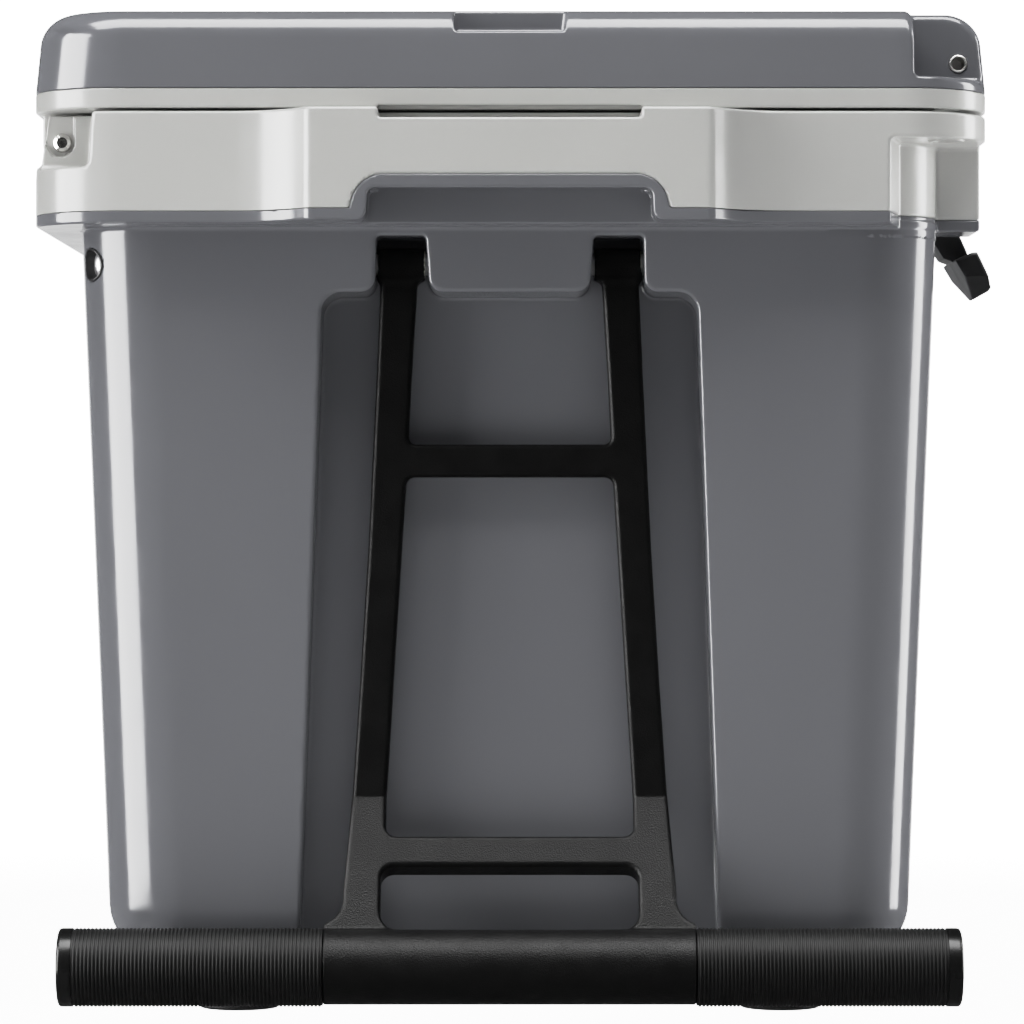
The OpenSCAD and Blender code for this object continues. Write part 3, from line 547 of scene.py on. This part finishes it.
def f_collar(x, y, z):
    ay = np.abs(y)
    d = fi(fi(rim(x, y, 0.0), z - 426.6, 1.7), 379.8 - z, 0.25)
    # deck open over the food space
    d = fs(d, rbox(x, y, 166.3, 277.3, 29.3), 1.2)
    # arch of the dark shell, and the dark core behind it
    arch = fu(edge2(x, z, 0.0), z - 379.8, 1.5)
    d = fs(d, np.maximum(arch, 338.7 - ay), 0.4)
    d = fs(d, np.maximum(rbox(x, ay - 350.0, 69.3, 12.8, 4), z - 413.3), 0.5)
    # corner under the padlock flange
    d = fs(d, fi(lock_void(x, y), z - 414.2, 2.0), 1.4)
    lock = hyp(x - 205, ay - 327)
    d = fu(d, np.maximum(lock - 8.5, between(z, 413.2, 418)), 0.6)
    d = fs(d, bay(x, y), 1.6)
    # hinge corner and ear notch
    face = fi(fi(x + 193.8 + (426 - z) * 0.07, 318 - ay, 4.0), 401 - z, 3.0)
    d = fs(d, face, 1.6)
    notch = fi(fi(x + 199.8, between(ay, 280, 308), 1.5), 402 - z, 3.0)
    d = fs(d, notch, 1.0)
    relief = fi(fi((x + 219.8 - (z - 402.3) * 0.1233) * 0.9925, 402.3 - z, 1.5), ay - 318, 0.8)
    d = fs(d, relief, 1.2)
    # shallow pocket for the lid's edge when it stands open
    d = fs(d, fi(fi(x + 222.85, between(z, 398.1, 404), 0.3), ay - 317, 0.5), 0.3)
    # step in the top of each grip
    step = fi(np.abs(x) - 60.8, 421.7 - z, 1.5)
    d = fs(d, np.maximum(step, 335 - ay), 1.5)
    # screw seat
    seat = np.maximum(np.minimum(hyp(x + 211, z - 413.8) - 6.7, np.maximum(np.abs(x + 211) - 6.7, 413.8 - z)), 314.6 - ay)
    d = fs(d, seat, 0.7)
    d = fs(d, np.maximum(lock - 5.5, 408 - z), 0.8)
    return d


gx = lines(-235.3, 235.9, 14.0, *sym((60, 76, 1.15), (88.5, 95, 1.7), (165, 168, 1.4), (96, 128, 5.0)), (176, 185, 1.3), (185, 196, 3.6),
           (195, 215, 1.1), (215, 227, 2.0), (-226, -216, 1.1), (-216, -204, 1.3), (-204, -198, 1.5), (-197, -191, 1.1))
gy = lines(-371.3, 371.9, 14.0, *sym((360, 369, 1.25), (336, 346, 1.5), (302, 337, 1.2), (283, 302, 2.2), (277, 283, 1.0), (235.5, 239, 1.2), (167, 170.5, 1.2)))
gz = lines(376.7, 429.7, 5.0, (379.2, 380.6, 0.38), (382, 397.5, 1.3), (399.5, 404, 1.2), (412, 417, 0.8), (420, 427.5, 0.7))
collar = solid("collar_moulding", f_collar, gx, gy, gz, "cooler", M["collar"], ["collar"])


# ---------------------------------------------------------------- liner

def f_liner(x, y, z):
    d = fi(liner_void(x, y, z, 3.0), z - 425.8, 1.2)
    d = fs(d, liner_void(x, y, z, 0.0), 0.8)
    return fs(d, np.maximum(hyp(y + 190, z - 88.5) - 12.2, x + 130), 0.8)


gx = lines(-175.3, 175.9, 16.0, *sym((134, 167.5, 1.2)))
gy = lines(-286.3, 286.9, 16.0, *sym((246, 278.5, 1.2)), (138, 164, 1.2), (-204, -176, 2.2))
gz = lines(59.3, 428.7, 7.0, (62, 82, 1.7), (74, 104, 2.2), (174, 194, 1.7), (424, 426.5, 0.9))
liner = solid("liner_moulding", f_liner, gx, gy, gz, "cooler", M["liner"], ["liner"])


# ---------------------------------------------------------------- lid

def lid_side(x, y, z, t):
    lean = np.clip((z - 437.2) / 23.4, 0, 1.6) * 2.1
    return rbox(x - MID, y, 224.5 - t - lean, HL - t - lean, 42.0 - t)


def lid_form(x, y, z, t):
    r = 14.0 - 0.6 * t
    return fi(lid_side(x, y, z, t) * 0.993, z - 474.6 + t, r)


def lid_cut(x, y, z, g=0.0):
    return fi(fi(188.5 - g - x, 315 - g - np.abs(y), 3.5), 443 - g - z, 2.5)


def lid_slot(x, y, z, g=0.0):
    return fi(fi(202 - g - x, np.abs(np.abs(y) - 203) - 20.6 - g, 2.2), z - 464 - g, 4.0)


def scoop(x, y, z, g=0.0):
    return fi(fi(np.abs(x) - 25.4 - (z - 464) * 0.115 - g, 464 - g - z, 1.2), 331 - g - np.abs(y), 2.5)


def f_lid(x, y, z):
    ay = np.abs(y)
    d = fi(lid_form(x, y, z, 0.0), 437.2 - z, 0.7)
    lip = 1.5 * np.clip((x - 200) / 10, 0, 1) * np.clip((452 - z) / 6, 0, 1)
    d = fs(d, lid_cut(x, y, z), 1.7 + lip + 2.3 * np.clip((z - 460) / 8, 0, 1))
    d = fs(d, lid_slot(x, y, z), 1.4)
    d = fs(d, scoop(x, y, z), 1.2)
    d = fs(d, fi(rbox(x, y, 150, 262, 30), 473.1 - z, 1.4), 1.4)
    d = fs(d, np.maximum(hyp(x - 211.5, z - 451.2) - 4.3, np.maximum(178 - ay, ay - 350)), 0.6)
    d = fs(d, np.maximum(hyp(x - 205, ay - 327) - 5.5, z - 450), 1.0)
    return d


gx = lines(-230.3, 231.9, 16.0, *sym((24.5, 28.5, 1.0), (147.5, 152, 1.2)), (184.5, 189.8, 1.3), (198, 203.5, 1.4), (203, 226, 1.9), (-224.5, -210, 2.2), (-210, -175, 6.0), (175, 200, 5.0))
gy = lines(-350.3, 351.9, 16.0, *sym((333, 346, 1.7), (326, 333, 1.5), (309, 317, 1.2), (300, 340, 5.0), (259.5, 264, 1.2), (221, 226, 1.3), (180, 185, 1.3)))
gz = lines(434.7, 477.9, 5.0, (436, 439, 0.7), (438.5, 446, 1.1), (446, 456, 1.7), (459, 475.5, 1.0))
lid = solid("lid_moulding", f_lid, gx, gy, gz, "lid", M["shell"], ["lid_shell", "lid_foam"])


def f_pan(x, y, z):
    ay = np.abs(y)
    side = rbox(x - MID, y, 224.5, HL, 42.0)
    d = fi(fi(side, z - 437.12, 0.7), 428 - z, 1.1)
    # relief over the step in each grip
    d = fs(d, fi(fi(np.abs(x) - 61.5, z - 429.3, 1.0), 335 - ay, 1.0), 0.8)
    plug = fi(rbox(x, y, 148 + (z - 411) * 0.5, 259 + (z - 411) * 0.5, 21.0) * 0.9, 411 - z, 5.0)
    plug = np.maximum(plug, z - 430.5)
    d = fu(d, plug, 2.0)
    # hinge ears
    ear = np.minimum(hyp(x + 211, z - 413.8) - 9.0, np.maximum(np.abs(x + 211) - 9.0, between(z, 413.8, 429)))
    ear = fi(ear, between(ay, 280.4, 307.6), 0.9)
    d = fu(d, ear, 1.6)
    d = fs(d, np.maximum(hyp(x + 211, z - 413.8) - 4.5, between(ay, 270, 318)), 0.5)
    groove = np.maximum(rbox(x, y, 176, 287, 40), -rbox(x, y, 169, 280, 34))
    d = fs(d, np.maximum(groove, z - 429.6), 0.5)
    d = fs(d, lid_slot(x, y, z), 1.2)
    d = fs(d, hyp(x - 205, ay - 327) - 5.5, 1.0)
    return d


gx = lines(-230.3, 231.9, 16.0, *sym((59.5, 63, 1.1), (142, 157, 2.4), (168, 178, 1.5)), (198, 203.5, 1.4), (205, 226, 1.9), (-224.5, -219, 1.4), (-219, -199, 1.6))
gy = lines(-350.3, 351.9, 16.0, *sym((339, 346, 1.5), (322, 333, 2.0), (305, 309, 1.2), (279, 289, 1.4), (253, 270, 2.6), (221, 226, 1.3), (180, 185, 1.3)))
gz = lines(402.3, 440.3, 4.0, (403.5, 426, 1.6), (426.8, 438.5, 0.62))
pan = solid("lid_pan_moulding", f_pan, gx, gy, gz, "lid", M["collar"], ["lid_pan"])


# ---------------------------------------------------------------- tow handle

TY, TZ, BZ, BEND = -295.0, 357.5, 103.0, math.radians(30)
BY, BAR_Z, BAR_R = -338.65, 27.4, 18.3


def arm_line(x, s, x0, s0, x1, s1):
    """signed distance to the line through two points of the frame's right half, positive outside"""
    L = math.hypot(x1 - x0, s1 - s0)
    return ((x - x0) * (s0 - s1) + (s - s0) * (x1 - x0)) / L * (1 if s0 > s1 else -1)


def f_frame(x, y, z):
    ax = np.abs(x)
    dy, dz = y - TY, z - BZ
    up = dy * math.sin(BEND / 2) + dz * math.cos(BEND / 2) > 0
    s = np.where(up, dz, dy * math.sin(BEND) + dz * math.cos(BEND)) + BZ
    w = np.where(up, dy, dy * math.cos(BEND) - dz * math.sin(BEND))
    sec = 1 / math.cos(BEND)

    def down(zz):
        return BZ - (BZ - zz) * sec
    # outer edge, flaring into the grip
    edge = np.interp(s, (53, 83, 103, 155, 223, 309, 348), (78.3, 76.2, 74.9, 71.4, 67.2, 63.1, 61.4))
    out = fi((ax - edge) * 0.998, s - 354.0, 2.0)
    d2 = fu(out, fi(ax - 86.6, s - 34.9, 1.0), 14.0)
    # windows
    top = np.maximum(arm_line(ax, s, 43.9, 348, 46.5, 305), arm_line(ax, s, 46.5, 305, 47.8, 281))
    w1 = fi(fi(top, 271.9 - s, 3.8), s - 420, 4.0)
    side = np.where(s > 103, arm_line(ax, s, 49.05, 257.2, 58.6, 103.0), ax - 58.7)
    w2 = fi(fi(side, s - 256.2, 4.2), down(84.0) - s, 5.5)
    w3 = fi(fi(ax - 60.7, s - down(70.3), 6.5), 32.2 - s, 9.5)
    d2 = np.maximum(d2, down(30) - s)
    d2 = fs(d2, w1, 2.0)
    d2 = fs(d2, w2, 2.0)
    d2 = fs(d2, w3, 2.0)
    plate = fi(d2, np.abs(w) - 6.25, 2.3)
    # knuckles round the pivot rod
    kn = fi(hyp(dy, z - TZ) - 8.0, np.abs(ax - 51.4) - 11.2, 1.3)
    neck = fi(fi(np.abs(ax - 51.4) - 11.2, np.abs(dy) - 6.25, 2.3), between(z, 350, 357.5), 0.8)
    d = fu(plate, np.minimum(kn, neck), 3.5)
    tube = fi(hyp(y - BY, z - BAR_Z) - (BAR_R - 0.9), ax - 87.0, 0.9)
    d = fu(d, tube, 1.6)
    d = fs(d, hyp(dy, z - TZ) - 6.5, 0.6)
    d = fs(d, np.maximum(hyp(y - BY, z - BAR_Z) - 14.03, 86 - ax), 0.3)
    return d


gx = lines(-91.3, 91.9, 2.4, *sym((38.5, 70, 1.05), (70, 91, 1.3)))
gy = lines(-360.3, -283.7, 3.0, (-304, -286, 1.1), (-360, -300, 1.4))
gz = lines(6.3, 370.9, 6.0, (268, 277, 1.1), (253, 259, 1.1), (76, 110, 1.4), (7, 40, 1.6), (40, 76, 1.1), (340, 368, 1.1))
tow = solid("tow_casting", f_frame, gx, gy, gz, "tow_handle", M["frame"], ["tow_frame"])


# ---------------------------------------------------------------- turned parts

def lathe(name, prof, centre, axis, body, material, replaces=(), seg=64, flip=False):
    """profile of (radius, place along the axis) turned about an axis"""
    prof = np.array(prof, float)
    a = np.arange(seg) * 2 * math.pi / seg
    p = np.zeros((len(prof), seg, 3))
    u, v, w = {"x": (0, 1, 2), "y": (1, 2, 0), "z": (2, 0, 1)}[axis]
    p[:, :, u] = prof[:, 1, None]
    p[:, :, v] = prof[:, 0, None] * np.cos(a)
    p[:, :, w] = prof[:, 0, None] * np.sin(a)
    p += np.array(centre)
    n = len(prof)
    i = np.arange(n - 1)[:, None] * seg
    j = np.arange(seg)[None, :]
    k = (np.arange(seg) + 1)[None, :] % seg
    q = np.stack(np.broadcast_arrays(i + j, i + k, i + seg + k, i + seg + j), -1).reshape(-1, 4)
    if flip:
        q = q[:, ::-1]
    ob = make_mesh(name, p.reshape(-1, 3), q)
    me = ob.data
    bm = bmesh.new()
    bm.from_mesh(me)
    bmesh.ops.remove_doubles(bm, verts=bm.verts, dist=1e-7)
    bmesh.ops.holes_fill(bm, edges=[e for e in bm.edges if e.is_boundary], sides=0)
    bmesh.ops.recalc_face_normals(bm, faces=bm.faces)
    bm.to_mesh(me)
    bm.free()
    me.polygons.foreach_set("use_smooth", np.ones(len(me.polygons), bool))
    me.materials.append(material)
    me.set_sharp_from_angle(angle=math.radians(40))
    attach(ob, body)
    if replaces:
        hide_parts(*replaces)
    return ob


def round_prof(r0, r1, a0, a1, f=0.4, steps=3):
    """closed ring section from radius r0 to r1 and from a0 to a1, outer edges rounded"""
    out = [(r0, a0)]
    for c, s0 in (((r1 - f, a0 + f), -90), ((r1 - f, a1 - f), 0)):
        for i in range(steps + 1):
            t = math.radians(s0 + 90 * i / steps)
            out.append((c[0] + f * math.cos(t), c[1] + f * math.sin(t)))
    out.append((r0, a1))
    return out


# pivot rod with a domed head; the near-black ring in the gap round its head is painted shade inside the hole it sits in
lathe("tow_rod_domed", [(0.0, 187.5), (4.6, 187.5), (5.0, 187.1), (5.0, -189.6), (6.9, -189.6), (6.9, -193.6), (6.4, -195.2), (5.3, -196.5), (4.0, -197.2),
                        (2.9, -197.5), (2.6, -197.3), (2.5, -195.0), (0.0, -195.0)], (0, TY, TZ), "x", "cooler", M["zinc"], ["tow_pivot_rod"], seg=48)
# painted shade: a thin near-black ring lining the visible gap of the rod's hole
solid("tow_rod_gap_shade_ring", lambda x, y, z: fi(fi(np.abs(hyp(y - TY, z - TZ) - 7.4) - 0.45, x + 189.6, 0.15), tub(x, y, z, -0.25), 0.15),
      lines(-202.3, -187.7, 0.45), lines(-304.3, -285.7, 0.45), lines(347.7, 367.3, 0.45), "cooler", M["drain"])


for side, tag in ((-1, "left"), (1, "right")):
    R = BAR_R
    prof = [(14.05, 87.2), (R - 0.6, 87.2)]
    for i in range(64):
        c = 88.0 + 1.8 * i
        prof += [(R - 0.55, c - 0.02), (R - 0.18, c + 0.10), (R, c + 0.42), (R, c + 0.78), (R - 0.18, c + 1.12), (R - 0.55, c + 1.24)]
    prof += [(R - 0.55, 203.6), (14.05, 203.6), (14.05, 87.2)]
    prof = [(r, side * a) for r, a in prof]
    lathe("grip_sleeve_%s_ribbed" % tag, prof, (0, BY, BAR_Z), "x", "tow_handle", M["grip"], ["grip_sleeve_" + tag], seg=88)
    e = 210.4
    prof = [(0.0, 203.75), (R, 203.75), (R, e - 1.8), (R - 0.2, e - 1.0), (R - 0.7, e - 0.45), (R - 1.5, e - 0.1), (R - 2.5, e), (0.0, e)]
    cap = lathe("grip_end_%s" % tag, [(r, side * a) for r, a in prof], (0, BY, BAR_Z), "x", "tow_handle", M["cap"], (), seg=88)
    if side > 0:
        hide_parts("grip_caps")


# ---------------------------------------------------------------- wheels

def f_tyre(x, y, z):
    dy, dz = y - 262, z - 75
    rr = hyp(dy, dz)
    v = np.abs(x - 173.4)
    d = fi(fi(rr - 75 + 0.0035 * v * v, v - 21.4, 4.5), 59.1 - rr, 0.6)
    a = np.arctan2(dz, dy) / (2 * math.pi)
    n = 34
    for off, lo, hi in ((0.0, 7.0, 99.0), (0.5, -1.0, 3.2)):
        u = np.abs((a * n + off) % 1.0 - 0.5) * (2 * math.pi / n) * rr
        slot = np.maximum(u - 1.5, np.maximum(np.maximum(lo - v, v - hi), 72.0 - rr))
        d = fs(d, slot, 0.7)
    for c in (5.1,):
        d = fs(d, fi(np.abs(v - c) - 1.5, 71.9 - rr, 0.5), 0.7)
    return d


def f_hub(x, y, z):
    dy, dz = y - 262, z - 75
    rr = hyp(dy, dz)
    a = np.arctan2(dz, dy)
    v = np.abs(x - 173.4)
    ring = fi(np.abs(rr - 56.5) - 2.45, v - 20.3, 1.0)
    disc = fi(rr - 57, np.abs(x - 171.5) - 3.6, 0.6)
    n = 6
    u = (a / (2 * math.pi / n) + 0.5) % 1.0 - 0.5
    ang = u * (2 * math.pi / n)
    hx_, hy_ = rr * np.cos(ang), rr * np.sin(ang)
    hole = hyp(hx_ - 37, hy_) - 10.5
    disc = fs(disc, hole, 1.5)
    ang2 = ((a / (2 * math.pi / n)) % 1.0 - 0.5) * (2 * math.pi / n)
    rib = fi(np.abs(rr * np.sin(ang2)) - 2.6, v - 17.0 + 0.06 * np.abs(rr - 36), 1.0)
    rib = np.maximum(rib, between(rr, 12, 56))
    boss = fi(rr - 16.5, np.maximum(152.5 - x, x - 191.2), 1.5)
    d = fu(fu(ring, disc, 2.0), fu(boss, rib, 2.5), 2.0)
    return fs(d, rr - 9.05, 0.6)


gx = lines(150.3, 196.9, 2.2, (164, 171, 1.2), (175, 183, 1.2), (186, 196, 1.3), (151, 160, 1.4))
gy = lines(185.3, 338.9, 2.0)
gz = lines(-1.7, 151.9, 2.0)
tyre_r = solid("tyre_right_tread", f_tyre, gx, gy, gz, "wheel_right", M["tyre"], ["tyre_right"])
hx2 = lines(151.3, 195.9, 2.2)
hub_r = solid("wheel_hub_right_spoked", f_hub, hx2, lines(201.3, 322.9, 1.9), lines(14.3, 135.9, 1.9), "wheel_right", M["hub"], ["wheel_hub_right"])


def mirrored(ob, name, body, node, axis=0):
    """a mirrored copy across x = 0 or y = 0 of the object frame"""
    me = ob.data
    n = len(me.vertices)
    co = np.empty(n * 3)
    me.vertices.foreach_get("co", co)
    co = co.reshape(-1, 3) * 1000.0 - [CX, 0, 0]
    co[:, axis] *= -1
    q = np.empty(len(me.loops), np.int32)
    me.loops.foreach_get("vertex_index", q)
    q = q.reshape(-1, 4)[:, ::-1]
    nr = np.empty(len(me.loops) * 3, np.float32)
    me.corner_normals.foreach_get("vector", nr)
    nr = nr.reshape(-1, 3)
    nv = np.zeros((n, 3), np.float32)
    li = np.empty(len(me.loops), np.int32)
    me.loops.foreach_get("vertex_index", li)
    nv[li] = nr
    nv[:, axis] *= -1
    new = make_mesh(name, co, q, nv)
    new.data.materials.append(me.materials[0])
    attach(new, body)
    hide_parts(node)
    return new


mirrored(tyre_r, "tyre_left_tread", "wheel_left", "tyre_left")
mirrored(hub_r, "wheel_hub_left_spoked", "wheel_left", "wheel_hub_left")


# ---------------------------------------------------------------- latches

def f_latch(x, y, z):
    v = np.abs(y + 203)
    eye = fi(hyp(x - 211.5, z - 451.2) - 8.3, v - 20, 1.3)
    outer = poly(x, z, [(209.2, 451.2), (215.5, 451.2), (216.5, 432), (216.5, 383), (221.9, 373.2), (224.6, 367.4),
                        (217.8, 364.4), (214.6, 365.6), (209.6, 373.2), (210.3, 383), (210.3, 432)]) - 1.0
    strap = fi(outer, v - 16.0 - 4.0 * np.clip((z - 366) / 18, 0, 1), 1.4)
    # pull tab, hung out at a slant, its lower corners cut back
    tab = poly(x, z, [(226.2, 365.9), (228.3, 366.2), (229.5, 363.9), (235.9, 350.3), (235.3, 349.3), (229.4, 345.9), (225.0, 353.2), (219.2, 362.8)]) - 0.9
    cut = (v - 6.0) * 0.398 - (z - 344.0) * 0.917
    d = fu(eye, strap, 1.5)
    d = fu(d, fi(fi(tab, v - 32.5, 1.6), cut, 0.9), 0.8)
    return fs(d, hyp(x - 211.5, z - 451.2) - 4.3, 0.5)


latch = solid("latch_near_moulded", f_latch, lines(200.3, 238.9, 1.0, (214, 238, 0.8)), lines(-237.3, -168.9, 1.6, (-237, -230, 0.8), (-225, -217, 1.1), (-189, -181, 1.1), (-176, -169, 0.8)),
              lines(340.3, 462.9, 3.0, (341, 371, 0.8), (371, 384, 1.2), (441, 461, 1.2)), "near_latch", M["latch"], ["latch_near"])
mirrored(latch, "latch_far_moulded", "far_latch", "latch_far", axis=1)
for side, tag in ((-1, "near"), (1, "far")):
    prof = [(0.0, 178.4), (4.0, 178.4), (4.25, 178.7), (4.25, 315.2), (4.1, 315.6), (3.7, 315.8), (3.3, 315.7), (3.05, 315.3), (3.0, 303.0), (0.0, 303.0)]
    pin = lathe("latch_pin_%s" % tag, [(r, side * a) for r, a in prof], (211.5, 0, 451.2), "y", "lid", M["pin"])
    if side > 0:
        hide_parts("latch_pins")


# ---------------------------------------------------------------- camera, floor, light

cam = bpy.data.cameras.new("camera")
cam_ob = bpy.data.objects.new("camera", cam)
scene.collection.objects.link(cam_ob)
cam_ob.location = (-0.00403, -2.445, 0.2398)
cam_ob.rotation_euler = (math.radians(90), 0, 0)
cam.lens = 158.73
cam.sensor_width = 36.0
cam.clip_end = 100
scene.camera = cam_ob

def ground(name, material, r=30.0):
    me = bpy.data.meshes.new(name)
    me.from_pydata([(-r, -r, 0), (r, -r, 0), (r, r, 0), (-r, r, 0)], [], [(0, 1, 2, 3)])
    me.materials.append(material)
    ob = bpy.data.objects.new(name, me)
    scene.collection.objects.link(ob)
    ob.location.z = -0.0002
    return ob


def floor_look(name, near):
    """pale floor, evenly lit in the distance"""
    m, nt, b, co = shader(name)
    nt.links.new(ramp(nt, noise(nt, co, 3.0, 4.0), [(0.3, (0.79, 0.79, 0.79)), (0.7, (0.81, 0.81, 0.81))]), b.inputs["Base Color"])
    b.inputs["Roughness"].default_value = 0.8
    if near is not None:
        away = nt.nodes.new("ShaderNodeVectorMath")
        away.operation = "LENGTH"
        nt.links.new(co, away.inputs[0])
        b.inputs["Emission Color"].default_value = (1, 1, 1, 1)
        nt.links.new(span(nt, away.outputs["Value"], 0.5, 1.3, near, 4.5), b.inputs["Emission Strength"])
    return m


# the sweep the camera sees, and the same floor as a bounce for the cooler
floor = ground("floor", floor_look("studio floor", 3.5))
floor.visible_glossy = False
floor.visible_diffuse = False
floor.visible_shadow = False
sheet = ground("floor sheet", floor_look("floor sheet", None), 1.6)
sheet.visible_camera = False
sheet.visible_glossy = False
# its mirror image in the mouldings, kept clear of the side lights
strip = ground("floor strip", floor_look("floor strip", None), 1.6)
strip.scale.x = 0.28
strip.visible_camera = False
strip.visible_diffuse = False
strip.visible_shadow = False


def softbox(name, at_, aim, w, h, radiance, gloss=True, matt=True):
    """a rectangular area light of even brightness, facing aim"""
    L = bpy.data.lights.new(name, "AREA")
    L.shape = "RECTANGLE"
    L.size, L.size_y = w, h
    L.energy = radiance * math.pi * w * h
    ob = bpy.data.objects.new(name, L)
    scene.collection.objects.link(ob)
    ob.location = at_
    ob.rotation_euler = (Vector(aim) - Vector(at_)).to_track_quat("-Z", "Y").to_euler()
    ob.visible_glossy = gloss
    ob.visible_diffuse = matt
    return ob


def around(corner, az, el, dist):
    """a point at an azimuth from -Y toward +X and an elevation, as seen from a corner of the object"""
    a, e = math.radians(az), math.radians(el)
    return tuple(c + dist * d for c, d in zip(corner, (math.sin(a) * math.cos(e), -math.cos(a) * math.cos(e), math.sin(e))))


world = bpy.data.worlds.new("studio")
world.use_nodes = True
wt = world.node_tree
dim = wt.nodes["Background"]
dim.inputs["Color"].default_value = (1, 1, 1, 1)
dim.inputs["Strength"].default_value = 0.03
white = wt.nodes.new("ShaderNodeBackground")
white.inputs["Color"].default_value = (1, 1, 1, 1)
white.inputs["Strength"].default_value = 4.5
pick = wt.nodes.new("ShaderNodeMixShader")
path = wt.nodes.new("ShaderNodeLightPath")
wt.links.new(path.outputs["Is Camera Ray"], pick.inputs[0])
wt.links.new(dim.outputs[0], pick.inputs[1])
wt.links.new(white.outputs[0], pick.inputs[2])
wt.links.new(pick.outputs[0], wt.nodes["World Output"].inputs["Surface"])
scene.world = world
LEFT, RIGHT, MIDDLE = (-0.18, -0.29, 0.24), (0.18, -0.29, 0.24), (0, -0.3, 0.24)
softbox("left softbox", around(LEFT, -72, 4, 1.4), LEFT, 1.02, 1.9, 18.0, matt=False)
softbox("right strip", around(RIGHT, 105.5, 4, 1.5), RIGHT, 0.52, 1.9, 12.0, matt=False)
softbox("top softbox", (0.0, -0.75, 2.0), (0, -0.3, 0.45), 2.4, 1.0, 14.0, matt=False)
softbox("left spread", around(LEFT, -72, 4, 1.4), LEFT, 1.02, 1.9, 6.7, gloss=False)
softbox("right spread", around(RIGHT, 108, 4, 1.5), RIGHT, 0.52, 1.9, 8.9, gloss=False)
softbox("top spread", (0.0, -0.3, 2.0), (0, -0.3, 0.3), 2.2, 1.6, 2.2, gloss=False)
softbox("front top spread", around(MIDDLE, 0, 60, 1.9), MIDDLE, 1.8, 0.8, 3.4, gloss=False)
BACK = (0, 0.33, 0.24)
for tag, az in (("left", -140), ("right", 140)):
    softbox("back %s spread" % tag, around(BACK, az, 14, 1.9), BACK, 0.9, 1.9, 5.0, gloss=False)
    softbox("back %s softbox" % tag, around(BACK, az, 14, 1.9), BACK, 0.4, 1.9, 1.0, matt=False)
softbox("backdrop glow", (0, 2.6, 0.0), (0, 0.3, 0.1), 3.4, 1.4, 0.95, matt=False)

# the photograph holds its highlights below white: a plain shoulder does the same
view = scene.view_settings
view.view_transform = "Standard"
view.use_curve_mapping = True
curve = view.curve_mapping
curve.white_level = (4, 4, 4)
tone = curve.curves[3]
for x, y in ((0.1125, 0.45), (0.15, 0.575), (0.2, 0.665), (0.25, 0.725), (0.375, 0.80), (0.5, 0.845), (0.75, 0.93)):
    tone.points.new(x, y)
for pt in tone.points:
    pt.handle_type = "AUTO_CLAMPED"
tone.points[0].handle_type = "VECTOR"
curve.update()
